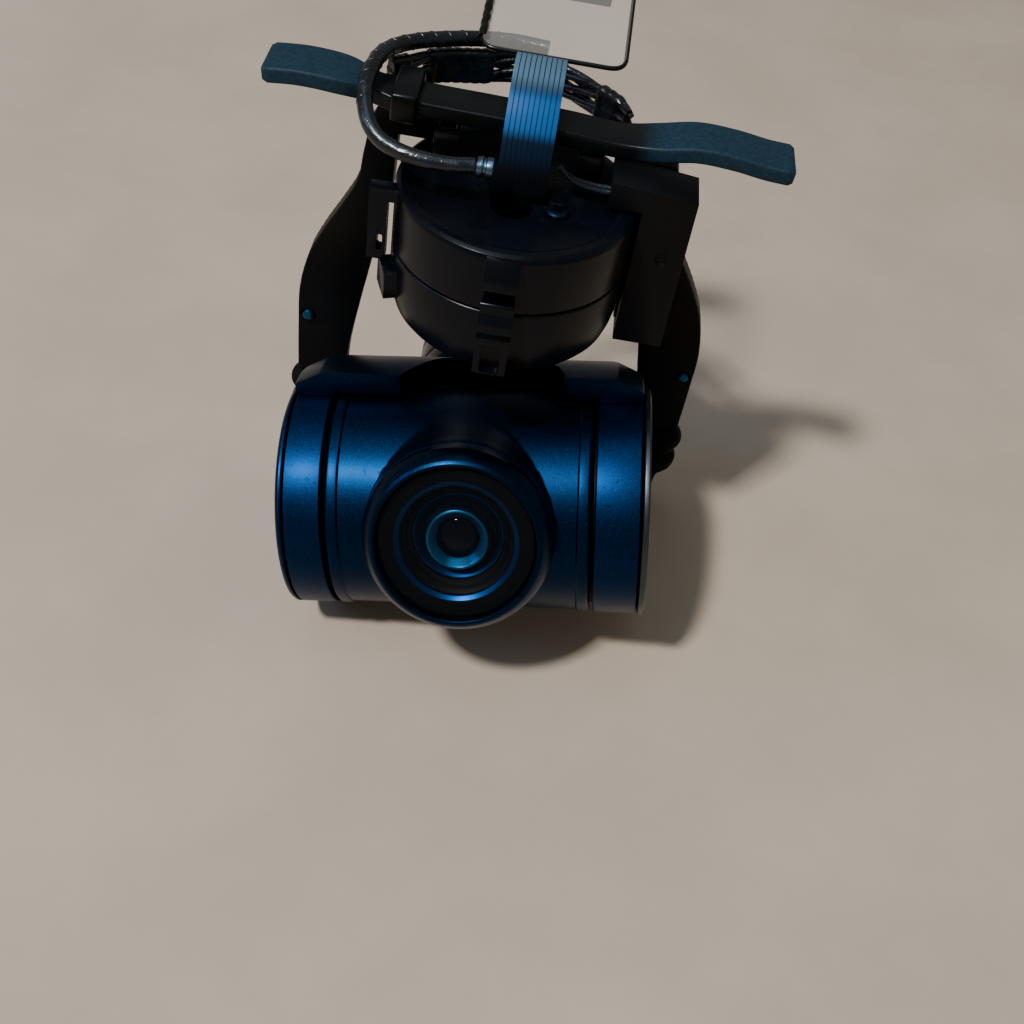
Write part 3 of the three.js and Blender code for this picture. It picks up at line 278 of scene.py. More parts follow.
def combine(obj, tools, operation):
    for tool in tools:
        mod = obj.modifiers.new("combine", "BOOLEAN")
        mod.operation = operation
        mod.solver = "EXACT"
        mod.object = tool
        apply_modifiers(obj)
        bpy.data.objects.remove(tool)
    return obj


def carve(obj, *tools):
    return combine(obj, tools, "DIFFERENCE")


def weld(obj, *tools):
    return combine(obj, tools, "UNION")


def smooth(obj, angle=35):
    obj.data.shade_smooth()
    obj.data.set_sharp_from_angle(angle=math.radians(angle))
    return obj


def finish_edges(obj, width=0.1, angle=32, segments=2):
    """Bevels sharp edges a little and shades the rest smooth."""
    bm = bmesh.new()
    bm.from_mesh(obj.data)
    bmesh.ops.remove_doubles(bm, verts=bm.verts, dist=2e-6)
    bmesh.ops.dissolve_limit(bm, angle_limit=math.radians(0.6), verts=bm.verts, edges=bm.edges)
    bm.to_mesh(obj.data)
    bm.free()
    mod = obj.modifiers.new("edges", "BEVEL")
    mod.width = width * MM
    mod.segments = segments
    mod.limit_method = "ANGLE"
    mod.angle_limit = math.radians(angle)
    mod.use_clamp_overlap = True
    mod.harden_normals = False
    apply_modifiers(obj)
    return smooth(obj, 40)


def swept(name, line, section, at=Matrix(), up_hint=Vector((0, 0, 1)), scale=None):
    """Closed section carried along a line of points; `scale` has its size across and up at each."""
    bm = bmesh.new()
    rings = []
    n = len(line)
    side = None
    for i, p in enumerate(line):
        along = (line[min(i + 1, n - 1)] - line[max(i - 1, 0)]).normalized()
        if side is None:
            side = along.cross(up_hint).normalized()
        else:
            side = (side - along * side.dot(along)).normalized()
        top = side.cross(along).normalized()
        across, high = scale[i] if scale else (1.0, 1.0)
        rings.append([bm.verts.new(p + side * (u * across) + top * (v * high)) for u, v in section])
    for a, b in zip(rings, rings[1:]):
        m = len(section)
        for k in range(m):
            bm.faces.new((a[k], a[(k + 1) % m], b[(k + 1) % m], b[k]))
    bm.faces.new(rings[0])
    bm.faces.new(rings[-1])
    return to_object(name, bm, at)


def piece(obj, body, finish, slot, *stands_for):
    """Gives the piece its finish, hangs it on its body and hides the CAD nodes that it stands for."""
    obj.data.materials.clear()
    obj.data.materials.append(finish)
    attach(obj, BODY[body])
    if stands_for:
        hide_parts(*stands_for)
        dressed.update(stands_for)
    print(f"{obj.name}: {len(obj.data.polygons)} faces")
    return obj


# %% [markdown]
# ## Writing shader maths as Python
# A finish is easier to read as a formula than as wires. `Sock` wraps one socket of a node tree and
# overloads the operators, so `0.4 + 0.1 * grain` adds its Math nodes. `Tree.add` makes any other
# node: its type, its settings, and the values or links of its inputs.

# %% Node helper


class Sock:
    def __init__(self, tree, socket):
        self.tree, self.socket = tree, socket

    def _math(self, operation, *values):
        return self.tree.add("ShaderNodeMath", {"operation": operation}, dict(enumerate(values)))

    def __add__(self, other):
        return self._math("ADD", self, other)

    def __radd__(self, other):
        return self._math("ADD", other, self)

    def __sub__(self, other):
        return self._math("SUBTRACT", self, other)

    def __rsub__(self, other):
        return self._math("SUBTRACT", other, self)

    def __mul__(self, other):
        return self._math("MULTIPLY", self, other)

    def __rmul__(self, other):
        return self._math("MULTIPLY", other, self)

    def __truediv__(self, other):
        return self._math("DIVIDE", self, other)

    def __pow__(self, other):
        return self._math("POWER", self, other)

    def clamp(self):
        made = self._math("ADD", self, 0.0)
        made.socket.node.use_clamp = True
        return made


class Tree:
    def __init__(self, tree):
        self.tree = tree

    def add(self, kind, settings=None, inputs=None, out=0):
        node = self.tree.nodes.new(kind)
        for key, value in (settings or {}).items():
            if key == "stops":
                ramp = node.color_ramp
                while len(ramp.elements) > 1:
                    ramp.elements.remove(ramp.elements[0])
                for i, (place, colour) in enumerate(value):
                    element = ramp.elements[0] if i == 0 else ramp.elements.new(place)
                    element.position = place
                    element.color = colour
            else:
                setattr(node, key, value)
        for key, value in (inputs or {}).items():
            target = node.inputs[key]
            if isinstance(value, Sock):
                self.tree.links.new(value.socket, target)
            else:
                target.default_value = value
        return Sock(self, node.outputs[out])

    def noise(self, place, scale, detail=2.0, rough=0.5):
        return self.add("ShaderNodeTexNoise", {}, {"Vector": place, "Scale": scale, "Detail": detail,
                                                   "Roughness": rough})

    def mix(self, factor, a, b):
        node_inputs = {0: factor, 6: a, 7: b}
        return self.add("ShaderNodeMix", {"data_type": "RGBA"}, node_inputs, out=2)

    def ramp(self, value, start, end):
        return self.add("ShaderNodeMapRange", {"clamp": True, "interpolation_type": "SMOOTHSTEP"},
                        {"Value": value, "From Min": start, "From Max": end})


def rgb(r, g, b):
    return (r, g, b, 1.0)


def finish(name, build):
    """New material: `build(tree, place)` returns the Principled inputs."""
    material = bpy.data.materials.new(name)
    material.use_nodes = True
    material.node_tree.nodes.clear()
    t = Tree(material.node_tree)
    place = t.add("ShaderNodeTexCoord", {}, {}, out=3)
    inputs = build(t, place)
    shader = t.add("ShaderNodeBsdfPrincipled", {}, inputs)
    end = material.node_tree.nodes.new("ShaderNodeOutputMaterial")
    material.node_tree.links.new(shader.socket, end.inputs["Surface"])
    return material


def bumped(t, height, strength, distance):
    return t.add("ShaderNodeBump", {}, {"Strength": strength, "Distance": distance, "Height": height})


print("node helper ready")

# %% [markdown]
# ## Finishes
# The camera's shells are lacquered metal: near black with a strong blue sheen and a fine sparkle of
# flakes. Sparkle is noise finer than a tenth of a millimetre that changes the colour and the
# roughness; a slow noise breaks up the gloss the way handling does.

# %% Lacquers and plastics


def lacquer(name, deep, sheen, roughness, metallic, flake):
    def build(t, place):
        fine = t.noise(place, 9000, 2, 0.7)
        slow = t.noise(place, 260, 4, 0.6)
        spots = t.ramp(t.noise(place, 2600, 1, 0.5), 0.66, 0.74)
        glint = t.ramp(fine, 0.52, 0.75)
        colour = t.mix(glint * flake, deep, sheen)
        colour = t.mix(spots * 0.5, colour, rgb(*(c * 0.35 for c in deep[:3])))
        rough = roughness + 0.12 * (slow - 0.5) + 0.08 * glint
        return {"Base Color": colour, "Metallic": metallic, "Roughness": rough.clamp(),
                "Coat Weight": 0.03, "Coat Roughness": 0.35,
                "Normal": bumped(t, fine + 0.6 * slow, 0.18, 0.00002)}

    return finish(name, build)


def moulded(name, dark, light, roughness, grain=0.35, specular=0.5):
    def build(t, place):
        texture = t.noise(place, 3200, 3, 0.65)
        slow = t.noise(place, 190, 4, 0.6)
        dust = t.ramp(t.noise(place, 700, 5, 0.7), 0.6, 0.85)
        colour = t.mix(t.ramp(slow, 0.35, 0.7), dark, light)
        colour = t.mix(dust * 0.03, colour, rgb(0.05, 0.05, 0.05))
        rough = roughness + 0.18 * (slow - 0.5) + 0.1 * (texture - 0.5)
        return {"Base Color": colour, "Roughness": rough.clamp(), "Specular IOR Level": specular,
                "Normal": bumped(t, texture, grain, 0.00003)}

    return finish(name, build)


# Painted shade: the middle of the bar is darkened to black between these places along X.
SHADE_LEFT, SHADE_RIGHT = (-0.0112, -0.0096), (0.0072, 0.0096)  # where the black fades in and out along X


def teal_with_painted_shade(t, place):
    """Teal rubber on the two tongues, with painted shade between them: the middle of the bar, under the cables and the
    flex, is darkened to a glossier black.
    """
    across = t.add("ShaderNodeSeparateXYZ", {}, {"Vector": place}, out=0)
    shade_edge_wobble = 0.0016 * (t.noise(place, 400, 3, 0.6) - 0.5)
    # Mask of the painted shade, with a wobbly edge.
    painted_shade = t.ramp(across + shade_edge_wobble, *SHADE_LEFT) * (1 - t.ramp(across + shade_edge_wobble, *SHADE_RIGHT))
    texture = t.noise(place, 3200, 3, 0.65)
    teal = t.mix(t.ramp(texture, 0.3, 0.7), rgb(0.002, 0.013, 0.022), rgb(0.004, 0.022, 0.036))
    return {"Base Color": t.mix(painted_shade, teal, rgb(0.0008, 0.0014, 0.002)), "Roughness": 0.6 - 0.28 * painted_shade,
            "Specular IOR Level": 0.2, "Normal": bumped(t, texture, 0.4, 0.00003)}


satin_shell = lacquer("satin_shell", rgb(0.0003, 0.012, 0.04), rgb(0.0004, 0.055, 0.2), 0.38, 1.0, 0.38)
satin_cap = lacquer("satin_cap", rgb(0.0003, 0.015, 0.055), rgb(0.0004, 0.05, 0.21), 0.4, 1.0, 0.45)
lens_lacquer = lacquer("lens_lacquer", rgb(0.0008, 0.012, 0.036), rgb(0.003, 0.07, 0.2), 0.3, 1.0, 0.3)
drum_plastic = moulded("drum_plastic", rgb(0.0005, 0.0011, 0.0026), rgb(0.001, 0.0018, 0.004), 0.28, 0.15, 0.16)
leg_plastic = moulded("leg_plastic", rgb(0.0004, 0.0009, 0.0016), rgb(0.0008, 0.0018, 0.003), 0.48, 0.3, 0.09)
# The bar's rubber: teal tongues, with painted shade darkening the middle.
bar_rubber = finish("bar_rubber", teal_with_painted_shade)
damper_rubber = moulded("damper_rubber", rgb(0.0006, 0.0008, 0.001), rgb(0.001, 0.0015, 0.002), 0.7, 0.4, 0.1)
black_gloss = moulded("black_gloss", rgb(0.0008, 0.001, 0.0012), rgb(0.0015, 0.002, 0.0025), 0.25, 0.1, 0.25)
bead_dark = moulded("bead_dark", rgb(0.004, 0.005, 0.006), rgb(0.02, 0.02, 0.02), 0.5, 0.2, 0.2)
lens_black = moulded("lens_black", rgb(0.0003, 0.0004, 0.0005), rgb(0.0006, 0.0008, 0.001), 0.5, 0.02, 0.05)
edge_blue = lacquer("edge_blue", rgb(0.0004, 0.02, 0.075), rgb(0.001, 0.08, 0.26), 0.33, 1.0, 0.2)
baffle_blue = lacquer("baffle_blue", rgb(0.0004, 0.024, 0.09), rgb(0.0006, 0.06, 0.2), 0.36, 1.0, 0.1)
box_plastic = moulded("box_plastic", rgb(0.0008, 0.001, 0.0014), rgb(0.0015, 0.002, 0.0026), 0.46, 0.4, 0.14)
print("lacquers and plastics made")

# %% [markdown]
# Bare metal shows the tool that made it: brushed lines stretch the noise along one direction.
# The wrap of the cable is glossy tape, wrinkled across, and the flex is a film over fine traces,
# which show as lines along it.

# %% Metals, film, glass


def metal(name, colour, roughness, stretch=(1, 1, 14)):
    def build(t, place):
        lined = t.add("ShaderNodeMapping", {}, {"Vector": place, "Scale": stretch})
        lines = t.noise(lined, 1500, 4, 0.6)
        wear = t.noise(place, 400, 3, 0.6)
        rough = roughness + 0.25 * (lines - 0.5) + 0.1 * (wear - 0.5)
        tone = t.mix(t.ramp(wear, 0.4, 0.75), colour, rgb(*(c * 0.7 for c in colour[:3])))
        return {"Base Color": tone, "Metallic": 1.0, "Roughness": rough.clamp(),
                "Normal": bumped(t, lines, 0.2, 0.00001)}

    return finish(name, build)


def wrapped(name):
    def build(t, place):
        crease = t.noise(place, 900, 4, 0.7)
        folds = t.noise(place, 260, 2, 0.5)
        colour = t.mix(t.ramp(folds, 0.4, 0.7), rgb(0.0015, 0.002, 0.003), rgb(0.003, 0.007, 0.012))
        rough = 0.2 + 0.22 * t.ramp(crease, 0.35, 0.75)
        return {"Base Color": colour, "Roughness": rough, "Specular IOR Level": 0.5,
                "Normal": bumped(t, crease + folds, 0.7, 0.00012)}

    return finish(name, build)


# The ribbon's film is coloured by height over the roof, with painted light: painted shade makes it near black at its
# foot, a painted highlight makes it bright where it turns towards the light, and a painted reflection makes it pale
# where it lies over.
SHADED_FOOT, HIGHLIGHT_IN, HIGHLIGHT_OUT, REFLECTION_CREST = (0.0015, 0.0032), (0.0036, 0.0046), (0.0058, 0.0066), (0.0061, 0.0069)


def film(name, deep, bright, pale):
    def build(t, place):
        height = t.add("ShaderNodeSeparateXYZ", {}, {"Vector": place}, out=2)
        painted_reflection = t.ramp(height, *REFLECTION_CREST)
        above_painted_shade = t.ramp(height, *SHADED_FOOT)
        slow = t.noise(place, 500, 3, 0.6)
        painted_highlight = t.ramp(height, *HIGHLIGHT_IN) * (1 - t.ramp(height, *HIGHLIGHT_OUT))
        colour = t.mix(above_painted_shade, rgb(0.0006, 0.0008, 0.001), deep)
        colour = t.mix(painted_highlight, colour, bright)
        colour = t.mix(painted_reflection * 0.8, colour, pale)
        rough = 0.5 + 0.15 * (slow - 0.5)
        return {"Base Color": colour, "Roughness": rough, "Specular IOR Level": 0.15,
                "Normal": bumped(t, slow, 0.15, 0.00003)}

    return finish(name, build)


def clear(name, tint, alpha, roughness=0.03, coat=0.3, specular=0.5):
    def build(t, place):
        smear = t.noise(place, 350, 3, 0.6)
        return {"Base Color": tint, "Roughness": roughness + 0.05 * t.ramp(smear, 0.5, 0.8),
                "Alpha": alpha, "Coat Weight": coat, "Coat Roughness": 0.02, "Specular IOR Level": specular}

    return finish(name, build)


steel = metal("steel", rgb(0.3, 0.34, 0.38), 0.3)
dark_steel = metal("dark_steel", rgb(0.012, 0.03, 0.055), 0.35)
nickel = metal("nickel", rgb(0.1, 0.16, 0.22), 0.3)
copper = metal("copper", rgb(0.35, 0.13, 0.05), 0.4)
silver_blue = metal("silver_blue", rgb(0.012, 0.11, 0.24), 0.3, (1, 1, 1))
rim_metal = metal("rim_metal", rgb(0.06, 0.07, 0.075), 0.35)
cable_wrap = wrapped("cable_wrap")
# The flex film's second colour is its painted highlight and its third its painted reflection.
flex_film = film("flex_film", rgb(0.0006, 0.006, 0.016), rgb(0.0006, 0.07, 0.22), rgb(0.07, 0.14, 0.2))
flex_copper = metal("flex_copper", rgb(0.0006, 0.024, 0.08), 0.5)
pin_blue = metal("pin_blue", rgb(0.01, 0.07, 0.16), 0.35)
panel_film = clear("panel_film", rgb(0.5, 0.46, 0.4), 0.14, 0.25, 0.0, 0.2)
window_glass = clear("window_glass", rgb(0.01, 0.014, 0.02), 0.05)
element_glass = clear("element_glass", rgb(0.0006, 0.0008, 0.002), 0.96, 0.02, 0.0, 0.12)
board_green = moulded("board_green", rgb(0.004, 0.03, 0.018), rgb(0.008, 0.05, 0.03), 0.45)
print("metals, film and glass made")

# %% [markdown]
# ## The camera barrel
# The front shell is one moulding: a cylinder whose front swells into the round boss that carries the
# lens ring. Joining a cylinder and a cone leaves a hard crease, and the real one flows. So the skin
# is computed: seen from the front each point lies on the cylinder or on the boss, whichever is
# further forward, and a smooth maximum rounds the crease between them. Rings round the lens near
# the boss turn gradually into the rectangle of the cylinder's rolled-out skin.

# %% Front shell
R_SHELL, R_BAND, WALL = 8.85, 9.0, 0.8
END_L, END_R, SPLIT = -10.35, 9.8, 0.6
BAND_W = 1.1
BORE = 6.3


def smooth_max(a, b, k):
    h = max(k - abs(a - b), 0.0) / k
    return max(a, b) + h * h * k * 0.25


BOSS = [(0, 9.0), (7.12, 9.0), (7.2, 8.7), (7.26, 7.4), (7.38, 6.3), (7.62, 5.0), (8.1, 3.2), (8.8, 1.0), (30, -30)]


def boss_height(rho):
    for (r0, h0), (r1, h1) in zip(BOSS, BOSS[1:]):
        if rho <= r1:
            return h0 + (h1 - h0) * (rho - r0) / (r1 - r0)
    return -30.0


def front_skin():
    bm = bmesh.new()
    around = 192
    rings = []
    radii = [BORE, 6.8, 7.05, 7.12, 7.16, 7.2, 7.24, 7.29, 7.35, 7.42, 7.51, 7.62, 7.76, 7.92, 8.1]
    for rho in radii:
        ring = []
        for i in range(around):
            a = 2 * math.pi * i / around
            x, z = rho * math.cos(a), rho * math.sin(a)
            y = smooth_max(math.sqrt(R_SHELL ** 2 - z * z), boss_height(rho), 1.0)
            ring.append(bm.verts.new((x, -y, z)))
        rings.append(ring)
    x0, x1 = END_L + BAND_W, END_R - BAND_W
    edge = math.radians(90) + math.asin(SPLIT / R_SHELL)
    last = radii[-1]
    outer = []
    for i in range(around):
        a = 2 * math.pi * i / around
        u, v = math.cos(a), math.sin(a)
        tx = (x1 / u) if u > 1e-9 else ((x0 / u) if u < -1e-9 else 1e9)
        tv = (edge * R_SHELL / abs(v)) if abs(v) > 1e-9 else 1e9
        t = min(tx, tv)
        outer.append([u * t, v * t])
    for cx in (x0, x1):
        for cs in (-1, 1):
            corner = (cx, cs * edge * R_SHELL)
            near = min(range(around), key=lambda j: math.dist(outer[j], corner))
            outer[near] = list(corner)
    steps = 22
    for k in range(1, steps + 1):
        t = k / steps
        ring = []
        for i in range(around):
            a = 2 * math.pi * i / around
            x = last * math.cos(a)
            s = math.asin(last * math.sin(a) / R_SHELL) * R_SHELL
            px, ps = x + (outer[i][0] - x) * t, s + (outer[i][1] - s) * t
            th = ps / R_SHELL
            z = R_SHELL * math.sin(th)
            y = R_SHELL * math.cos(th)
            if abs(th) < math.radians(80):
                y = smooth_max(y, boss_height(math.hypot(px, z)), 1.0)
            ring.append(bm.verts.new((px, -y, z)))
        rings.append(ring)
    for ring_a, ring_b in zip(rings, rings[1:]):
        for i in range(around):
            j = (i + 1) % around
            bm.faces.new((ring_a[i], ring_a[j], ring_b[j], ring_b[i]))
    obj = to_object("front_shell", bm, AT["tilt"], flip_check=True)
    middle = AT["tilt"] @ Vector((0, 0, 0)) * MM
    face = obj.data.polygons[0]
    if (face.center - middle).dot(face.normal) < 0:
        obj.data.flip_normals()
    mod = obj.modifiers.new("wall", "SOLIDIFY")
    mod.thickness = WALL * MM
    mod.offset = -1
    apply_modifiers(obj)
    return obj


def band(x0, x1, outer_left):
    """End band of the shell with the wall that closes the barrel's end."""
    s = 1 if outer_left else -1
    end, inner = (x0, x1) if outer_left else (x1, x0)
    return [(R_BAND - 1.2, end), (R_BAND - 0.28, end), (R_BAND, end + 0.28 * s), (R_BAND, inner - 0.12 * s),
            (R_SHELL - 0.02, inner + 0.02 * s), (R_SHELL - WALL, inner + 0.02 * s), (R_BAND - 1.2, end + WALL * s)]


def merge(name, *objects):
    bm = bmesh.new()
    for o in objects:
        bm.from_mesh(o.data)
    mesh = bpy.data.meshes.new(name)
    bm.to_mesh(mesh)
    bm.free()
    for o in objects:
        bpy.data.objects.remove(o)
    obj = bpy.data.objects.new(name, mesh)
    bpy.context.scene.collection.objects.link(obj)
    return obj


edge_deg = 90 + math.degrees(math.asin(SPLIT / R_SHELL))
FRONT_ARC = (180 - edge_deg, 180 + edge_deg)
REAR_ARC = (180 + edge_deg + 0.8, 540 - edge_deg - 0.8)


def half(name, arc, profile):
    return turned(name, profile, "x", AT["tilt"], 192, arc)


front = merge("front_shell", smooth(front_skin()),
              smooth(half("band_l", FRONT_ARC, band(END_L, END_L + BAND_W, True))),
              smooth(half("band_r", FRONT_ARC, band(END_R - BAND_W, END_R, False))))
piece(smooth(front), "tilt", satin_shell, "satin_shell", "barrel_front_shell")

# %% [markdown]
# The rear shell is a plain half cylinder, so it is simply turned, as a part of a circle. Cooling
# slots and two screw holes are carved through it. The screws sit deep, out of sight.

# %% Rear shell
rear = half("rear_shell", REAR_ARC, [
    (1.1, END_L), (R_BAND - 0.28, END_L), (R_BAND, END_L + 0.28), (R_BAND, END_L + BAND_W),
    (R_SHELL, END_L + BAND_W + 0.14), (R_SHELL, END_R - BAND_W - 0.14), (R_BAND, END_R - BAND_W),
    (R_BAND, END_R - 0.28), (R_BAND - 0.28, END_R), (1.1, END_R), (1.1, END_R - WALL),
    (R_SHELL - WALL, END_R - WALL), (R_SHELL - WALL, END_L + WALL), (1.1, END_L + WALL)])
slots = [pushed("slot", rounded_box(i * 1.6 - 0.35, i * 1.6 + 0.35, -2.4, 2.4, 0.34), -14, -1,
                AT["tilt"] @ turn(math.radians(90), "X")) for i in range(-2, 3)]
holes = [turned("hole", [(0, 0), (0.55, 0), (0.55, 14), (0, 14)], "y", AT["tilt"] @ shift(x, 0, 0), 32, soft=0)
         for x in (-6.6, 6.6)]
carve(rear, *slots, *holes)
piece(smooth(rear), "tilt", satin_shell, "satin_shell", "barrel_rear_shell")

# %% [markdown]
# ## The lens
# What reads as a lens is a stack of turned rings seen through a flat window: the outer ring with
# its rolled front edge, a black mask, a baffle with steps that keep stray light out, the cell of
# the front element and the domed element itself. Each is a turned profile. The lip of the mask and
# the throat of the baffle are blue, so their lower halves catch the light from above as arcs.

# %% Lens ring and window
lens_ring = turned("lens_ring", [
    (5.9, -9.12), (6.98, -9.12), (7.15, -9.3), (7.15, -9.62), (7.07, -9.68), (7.07, -9.8), (7.15, -9.86),
    (7.15, -10.15), (7.08, -10.6), (6.9, -11.0), (6.68, -11.35), (6.42, -11.66), (6.2, -11.8), (6.0, -11.8),
    (5.9, -11.6)], "y", AT["tilt"], 192, soft=0.05)
piece(smooth(lens_ring, 30), "tilt", lens_lacquer, "satin_cap", "lens_ring")
window = turned("lens_window", [(0, -11.5), (5.7, -11.5), (5.78, -11.42), (5.78, -11.15), (0, -11.15)],
                "y", AT["tilt"], 128, soft=0)
piece(smooth(window), "tilt", window_glass, "glass", "lens_window")

# %% Mask, baffle, cell and element
mask = turned("lens_mask", [(4.67, -11.03), (5.78, -11.03), (5.78, -10.33), (4.67, -10.33)], "y", AT["tilt"], 160,
              soft=0.04)
piece(smooth(mask, 30), "tilt", lens_black, "black", "lens_mask")
mask_edge = turned("lens_mask_edge", [(4.3, -10.35), (4.26, -10.8), (4.3, -10.86), (4.6, -11.05), (4.66, -11.06),
                                      (4.66, -10.35)], "y", AT["tilt"], 160, soft=0.02)
piece(smooth(mask_edge, 30), "tilt", edge_blue, "black")
baffle = turned("lens_baffle", [
    (4.36, -10.21), (5.78, -10.21), (5.78, -8.91), (3.42, -8.91), (3.42, -9.54), (3.5, -9.66), (3.72, -9.72),
    (3.92, -9.9), (3.92, -9.96), (4.1, -10.0), (4.28, -10.16)], "y", AT["tilt"], 160, soft=0.02)
piece(smooth(baffle, 25), "tilt", lens_black, "black", "lens_baffle")
throat = turned("lens_baffle_throat", [(2.75, -8.91), (2.75, -9.1), (3.3, -9.56), (3.38, -9.56), (3.38, -8.91)],
                "y", AT["tilt"], 160, soft=0.02)
piece(smooth(throat, 25), "tilt", baffle_blue, "black")
cell = turned("lens_cell", [(1.6, -9.95), (1.75, -10.12), (2.02, -10.38), (2.15, -10.51), (2.3, -10.46),
                            (2.4, -10.31), (2.4, -9.01), (1.6, -9.01)], "y", AT["tilt"], 128, soft=0.04)
piece(smooth(cell, 30), "tilt", silver_blue, "silver", "lens_cell")
dome = [(0, -9.97)] + [(1.48 * math.sin(a), -9.57 - 0.4 * math.cos(a) ** 1.5) for a in
                       (math.radians(d) for d in range(10, 91, 10))]
element = turned("lens_element", dome + [(1.48, -9.01), (0, -9.01)], "y", AT["tilt"], 96, soft=0)
piece(smooth(element, 50), "tilt", element_glass, "glass", "lens_element")

# %% [markdown]
# ## The yoke
# The roll motor carries the camera on a bent arm: a band that wraps over the top and the back of
# the barrel, with a notch that lets the lens boss pass, and two shoulders that grip the end caps.
# It is turned as one hollow drum, as finely as the light needs, and then everything that is not
# there is carved away, in the way that a designer would.

# %% Yoke arm
IN_R, OUT_R, CAP_R, CAP_WEB = 9.35, 10.4, 9.12, 13.48
yoke = turned("yoke_arm", [(0, -CAP_WEB), (CAP_R + 0.25, -CAP_WEB), (CAP_R + 0.42, -CAP_WEB + 0.3),
                           (OUT_R - 0.08, -11.5), (OUT_R, -11.0), (OUT_R, 11.0), (OUT_R - 0.08, 11.5),
                           (CAP_R + 0.42, CAP_WEB - 0.3), (CAP_R + 0.25, CAP_WEB), (0, CAP_WEB)],
              "x", shift(0, 0.45, 0.6), 160, soft=0.3)
lining = turned("lining", [(0, -15), (CAP_R, -15), (CAP_R, END_L - 0.25), (IN_R, END_L - 0.25),
                           (IN_R, END_R + 0.25), (CAP_R, END_R + 0.25), (CAP_R, 15), (0, 15)], "x", seg=160, soft=0)
missing = [(0, 0)] + [(40 * math.sin(math.radians(d)), 40 * math.cos(math.radians(d)))
                      for d in list(range(11, -240, -12)) + [-240]]
wedge = pushed("wedge", missing, -40, 40, AXES["x"])
front_y = OUT_R * math.sin(math.radians(11))
notch = soften([(-5.3, -1), (-5.3, front_y), (-2.9, front_y + 3.6), (-2.0, front_y + 4.6), (4.3, front_y + 5.2),
                (5.2, front_y + 4.4), (6.9, front_y + 2.2), (7.4, front_y + 0.9), (7.4, -1)], 0.7, 5)
opening = pushed("opening", notch, 2.5, 40)
carve(yoke, lining, wedge, opening)
weld(yoke, turned("boss", [(0, 9.55), (4.5, 9.55), (4.6, 9.65), (4.6, 10.95), (4.5, 11.05), (0, 11.05)], "y", seg=96,
                  soft=0.05))
carve(yoke, turned("hole", [(0, 0), (1.32, 0), (1.32, 30), (0, 30)], "y", seg=48, soft=0))
yoke.data.transform(Matrix.Scale(1 / MM, 4))
yoke.data.transform(Matrix.Scale(MM, 4) @ AT["barrel"])
finish_edges(yoke, 0.16, 30, 3)
piece(yoke, "roll", satin_shell, "satin_shell", "yoke_arm")

# %% [markdown]
# The caps at both ends of the barrel are deep cups closed outside by a thin disc. The left one houses the tilt motor.
# They carry the finest lacquer, so they are kept perfectly round, with a small chamfer at the seam and a fine turned
# step at the outer rim. A thin black ring inside each seam is painted shade: it keeps the seam dark.

# %% End caps and discs
SHADE_RING_REACH = 0.18  # how far the black ring of painted shade stands out of the cup into the seam
for side, name, seam in ((-1, "left", 10.6), (1, "right", 10.05)):
    cup = turned(f"yoke_cap_{name}", [
        (1.2, side * CAP_WEB), (8.78, side * CAP_WEB), (9.0, side * (CAP_WEB - 0.12)), (9.0, side * (seam + 0.08)),
        (8.9, side * seam), (8.2, side * seam), (8.2, side * (CAP_WEB - 0.8)), (1.2, side * (CAP_WEB - 0.8))],
        "x", AT["barrel"], 192, soft=0.05)
    piece(smooth(cup, 30), "roll", satin_cap, "satin_cap", f"yoke_cap_{name}")
    # Painted shade: a black ring that darkens the seam.
    seam_shade_ring = turned(f"cap_felt_{name}", [(7.4, side * (seam - SHADE_RING_REACH)), (8.25, side * (seam - SHADE_RING_REACH)),
                                       (8.25, side * (seam + 0.3)), (7.4, side * (seam + 0.3))],
                  "x", AT["barrel"], 128, soft=0.03)
    piece(smooth(seam_shade_ring, 30), "roll", lens_black, "black")
disc_l = turned("cap_disc_left", [(0, -14.1), (7.2, -14.1), (7.3, -14.02), (7.4, -14.02), (7.5, -14.1),
                                  (8.55, -14.1), (8.85, -13.98), (9.0, -13.78), (9.0, -13.6), (0, -13.6)],
                "x", AT["barrel"], 192, soft=0.05)
piece(smooth(disc_l, 30), "roll", satin_cap, "satin_cap", "cap_disc_left")
disc_r = turned("cap_disc_right", [(0, 13.6), (8.98, 13.6), (9.08, 13.7), (9.08, 13.98), (8.95, 14.1), (8.2, 14.1),
                                   (8.1, 14.02), (8.0, 14.1), (0, 14.1)], "x", AT["barrel"], 192, soft=0.04)
piece(smooth(disc_r, 30), "roll", rim_metal, "rim_disc", "cap_disc_right")

# %% [markdown]
# ## The yaw motor's housing
# Two moulded cups snap together round the yaw motor. The upper one has a raised rim, which draws
# the bright line round the roof, a round hole for the cables and a slot for the flex. On its left
# an ear reaches down over a block on the lower cup, and in front a nose stands over an open loop.

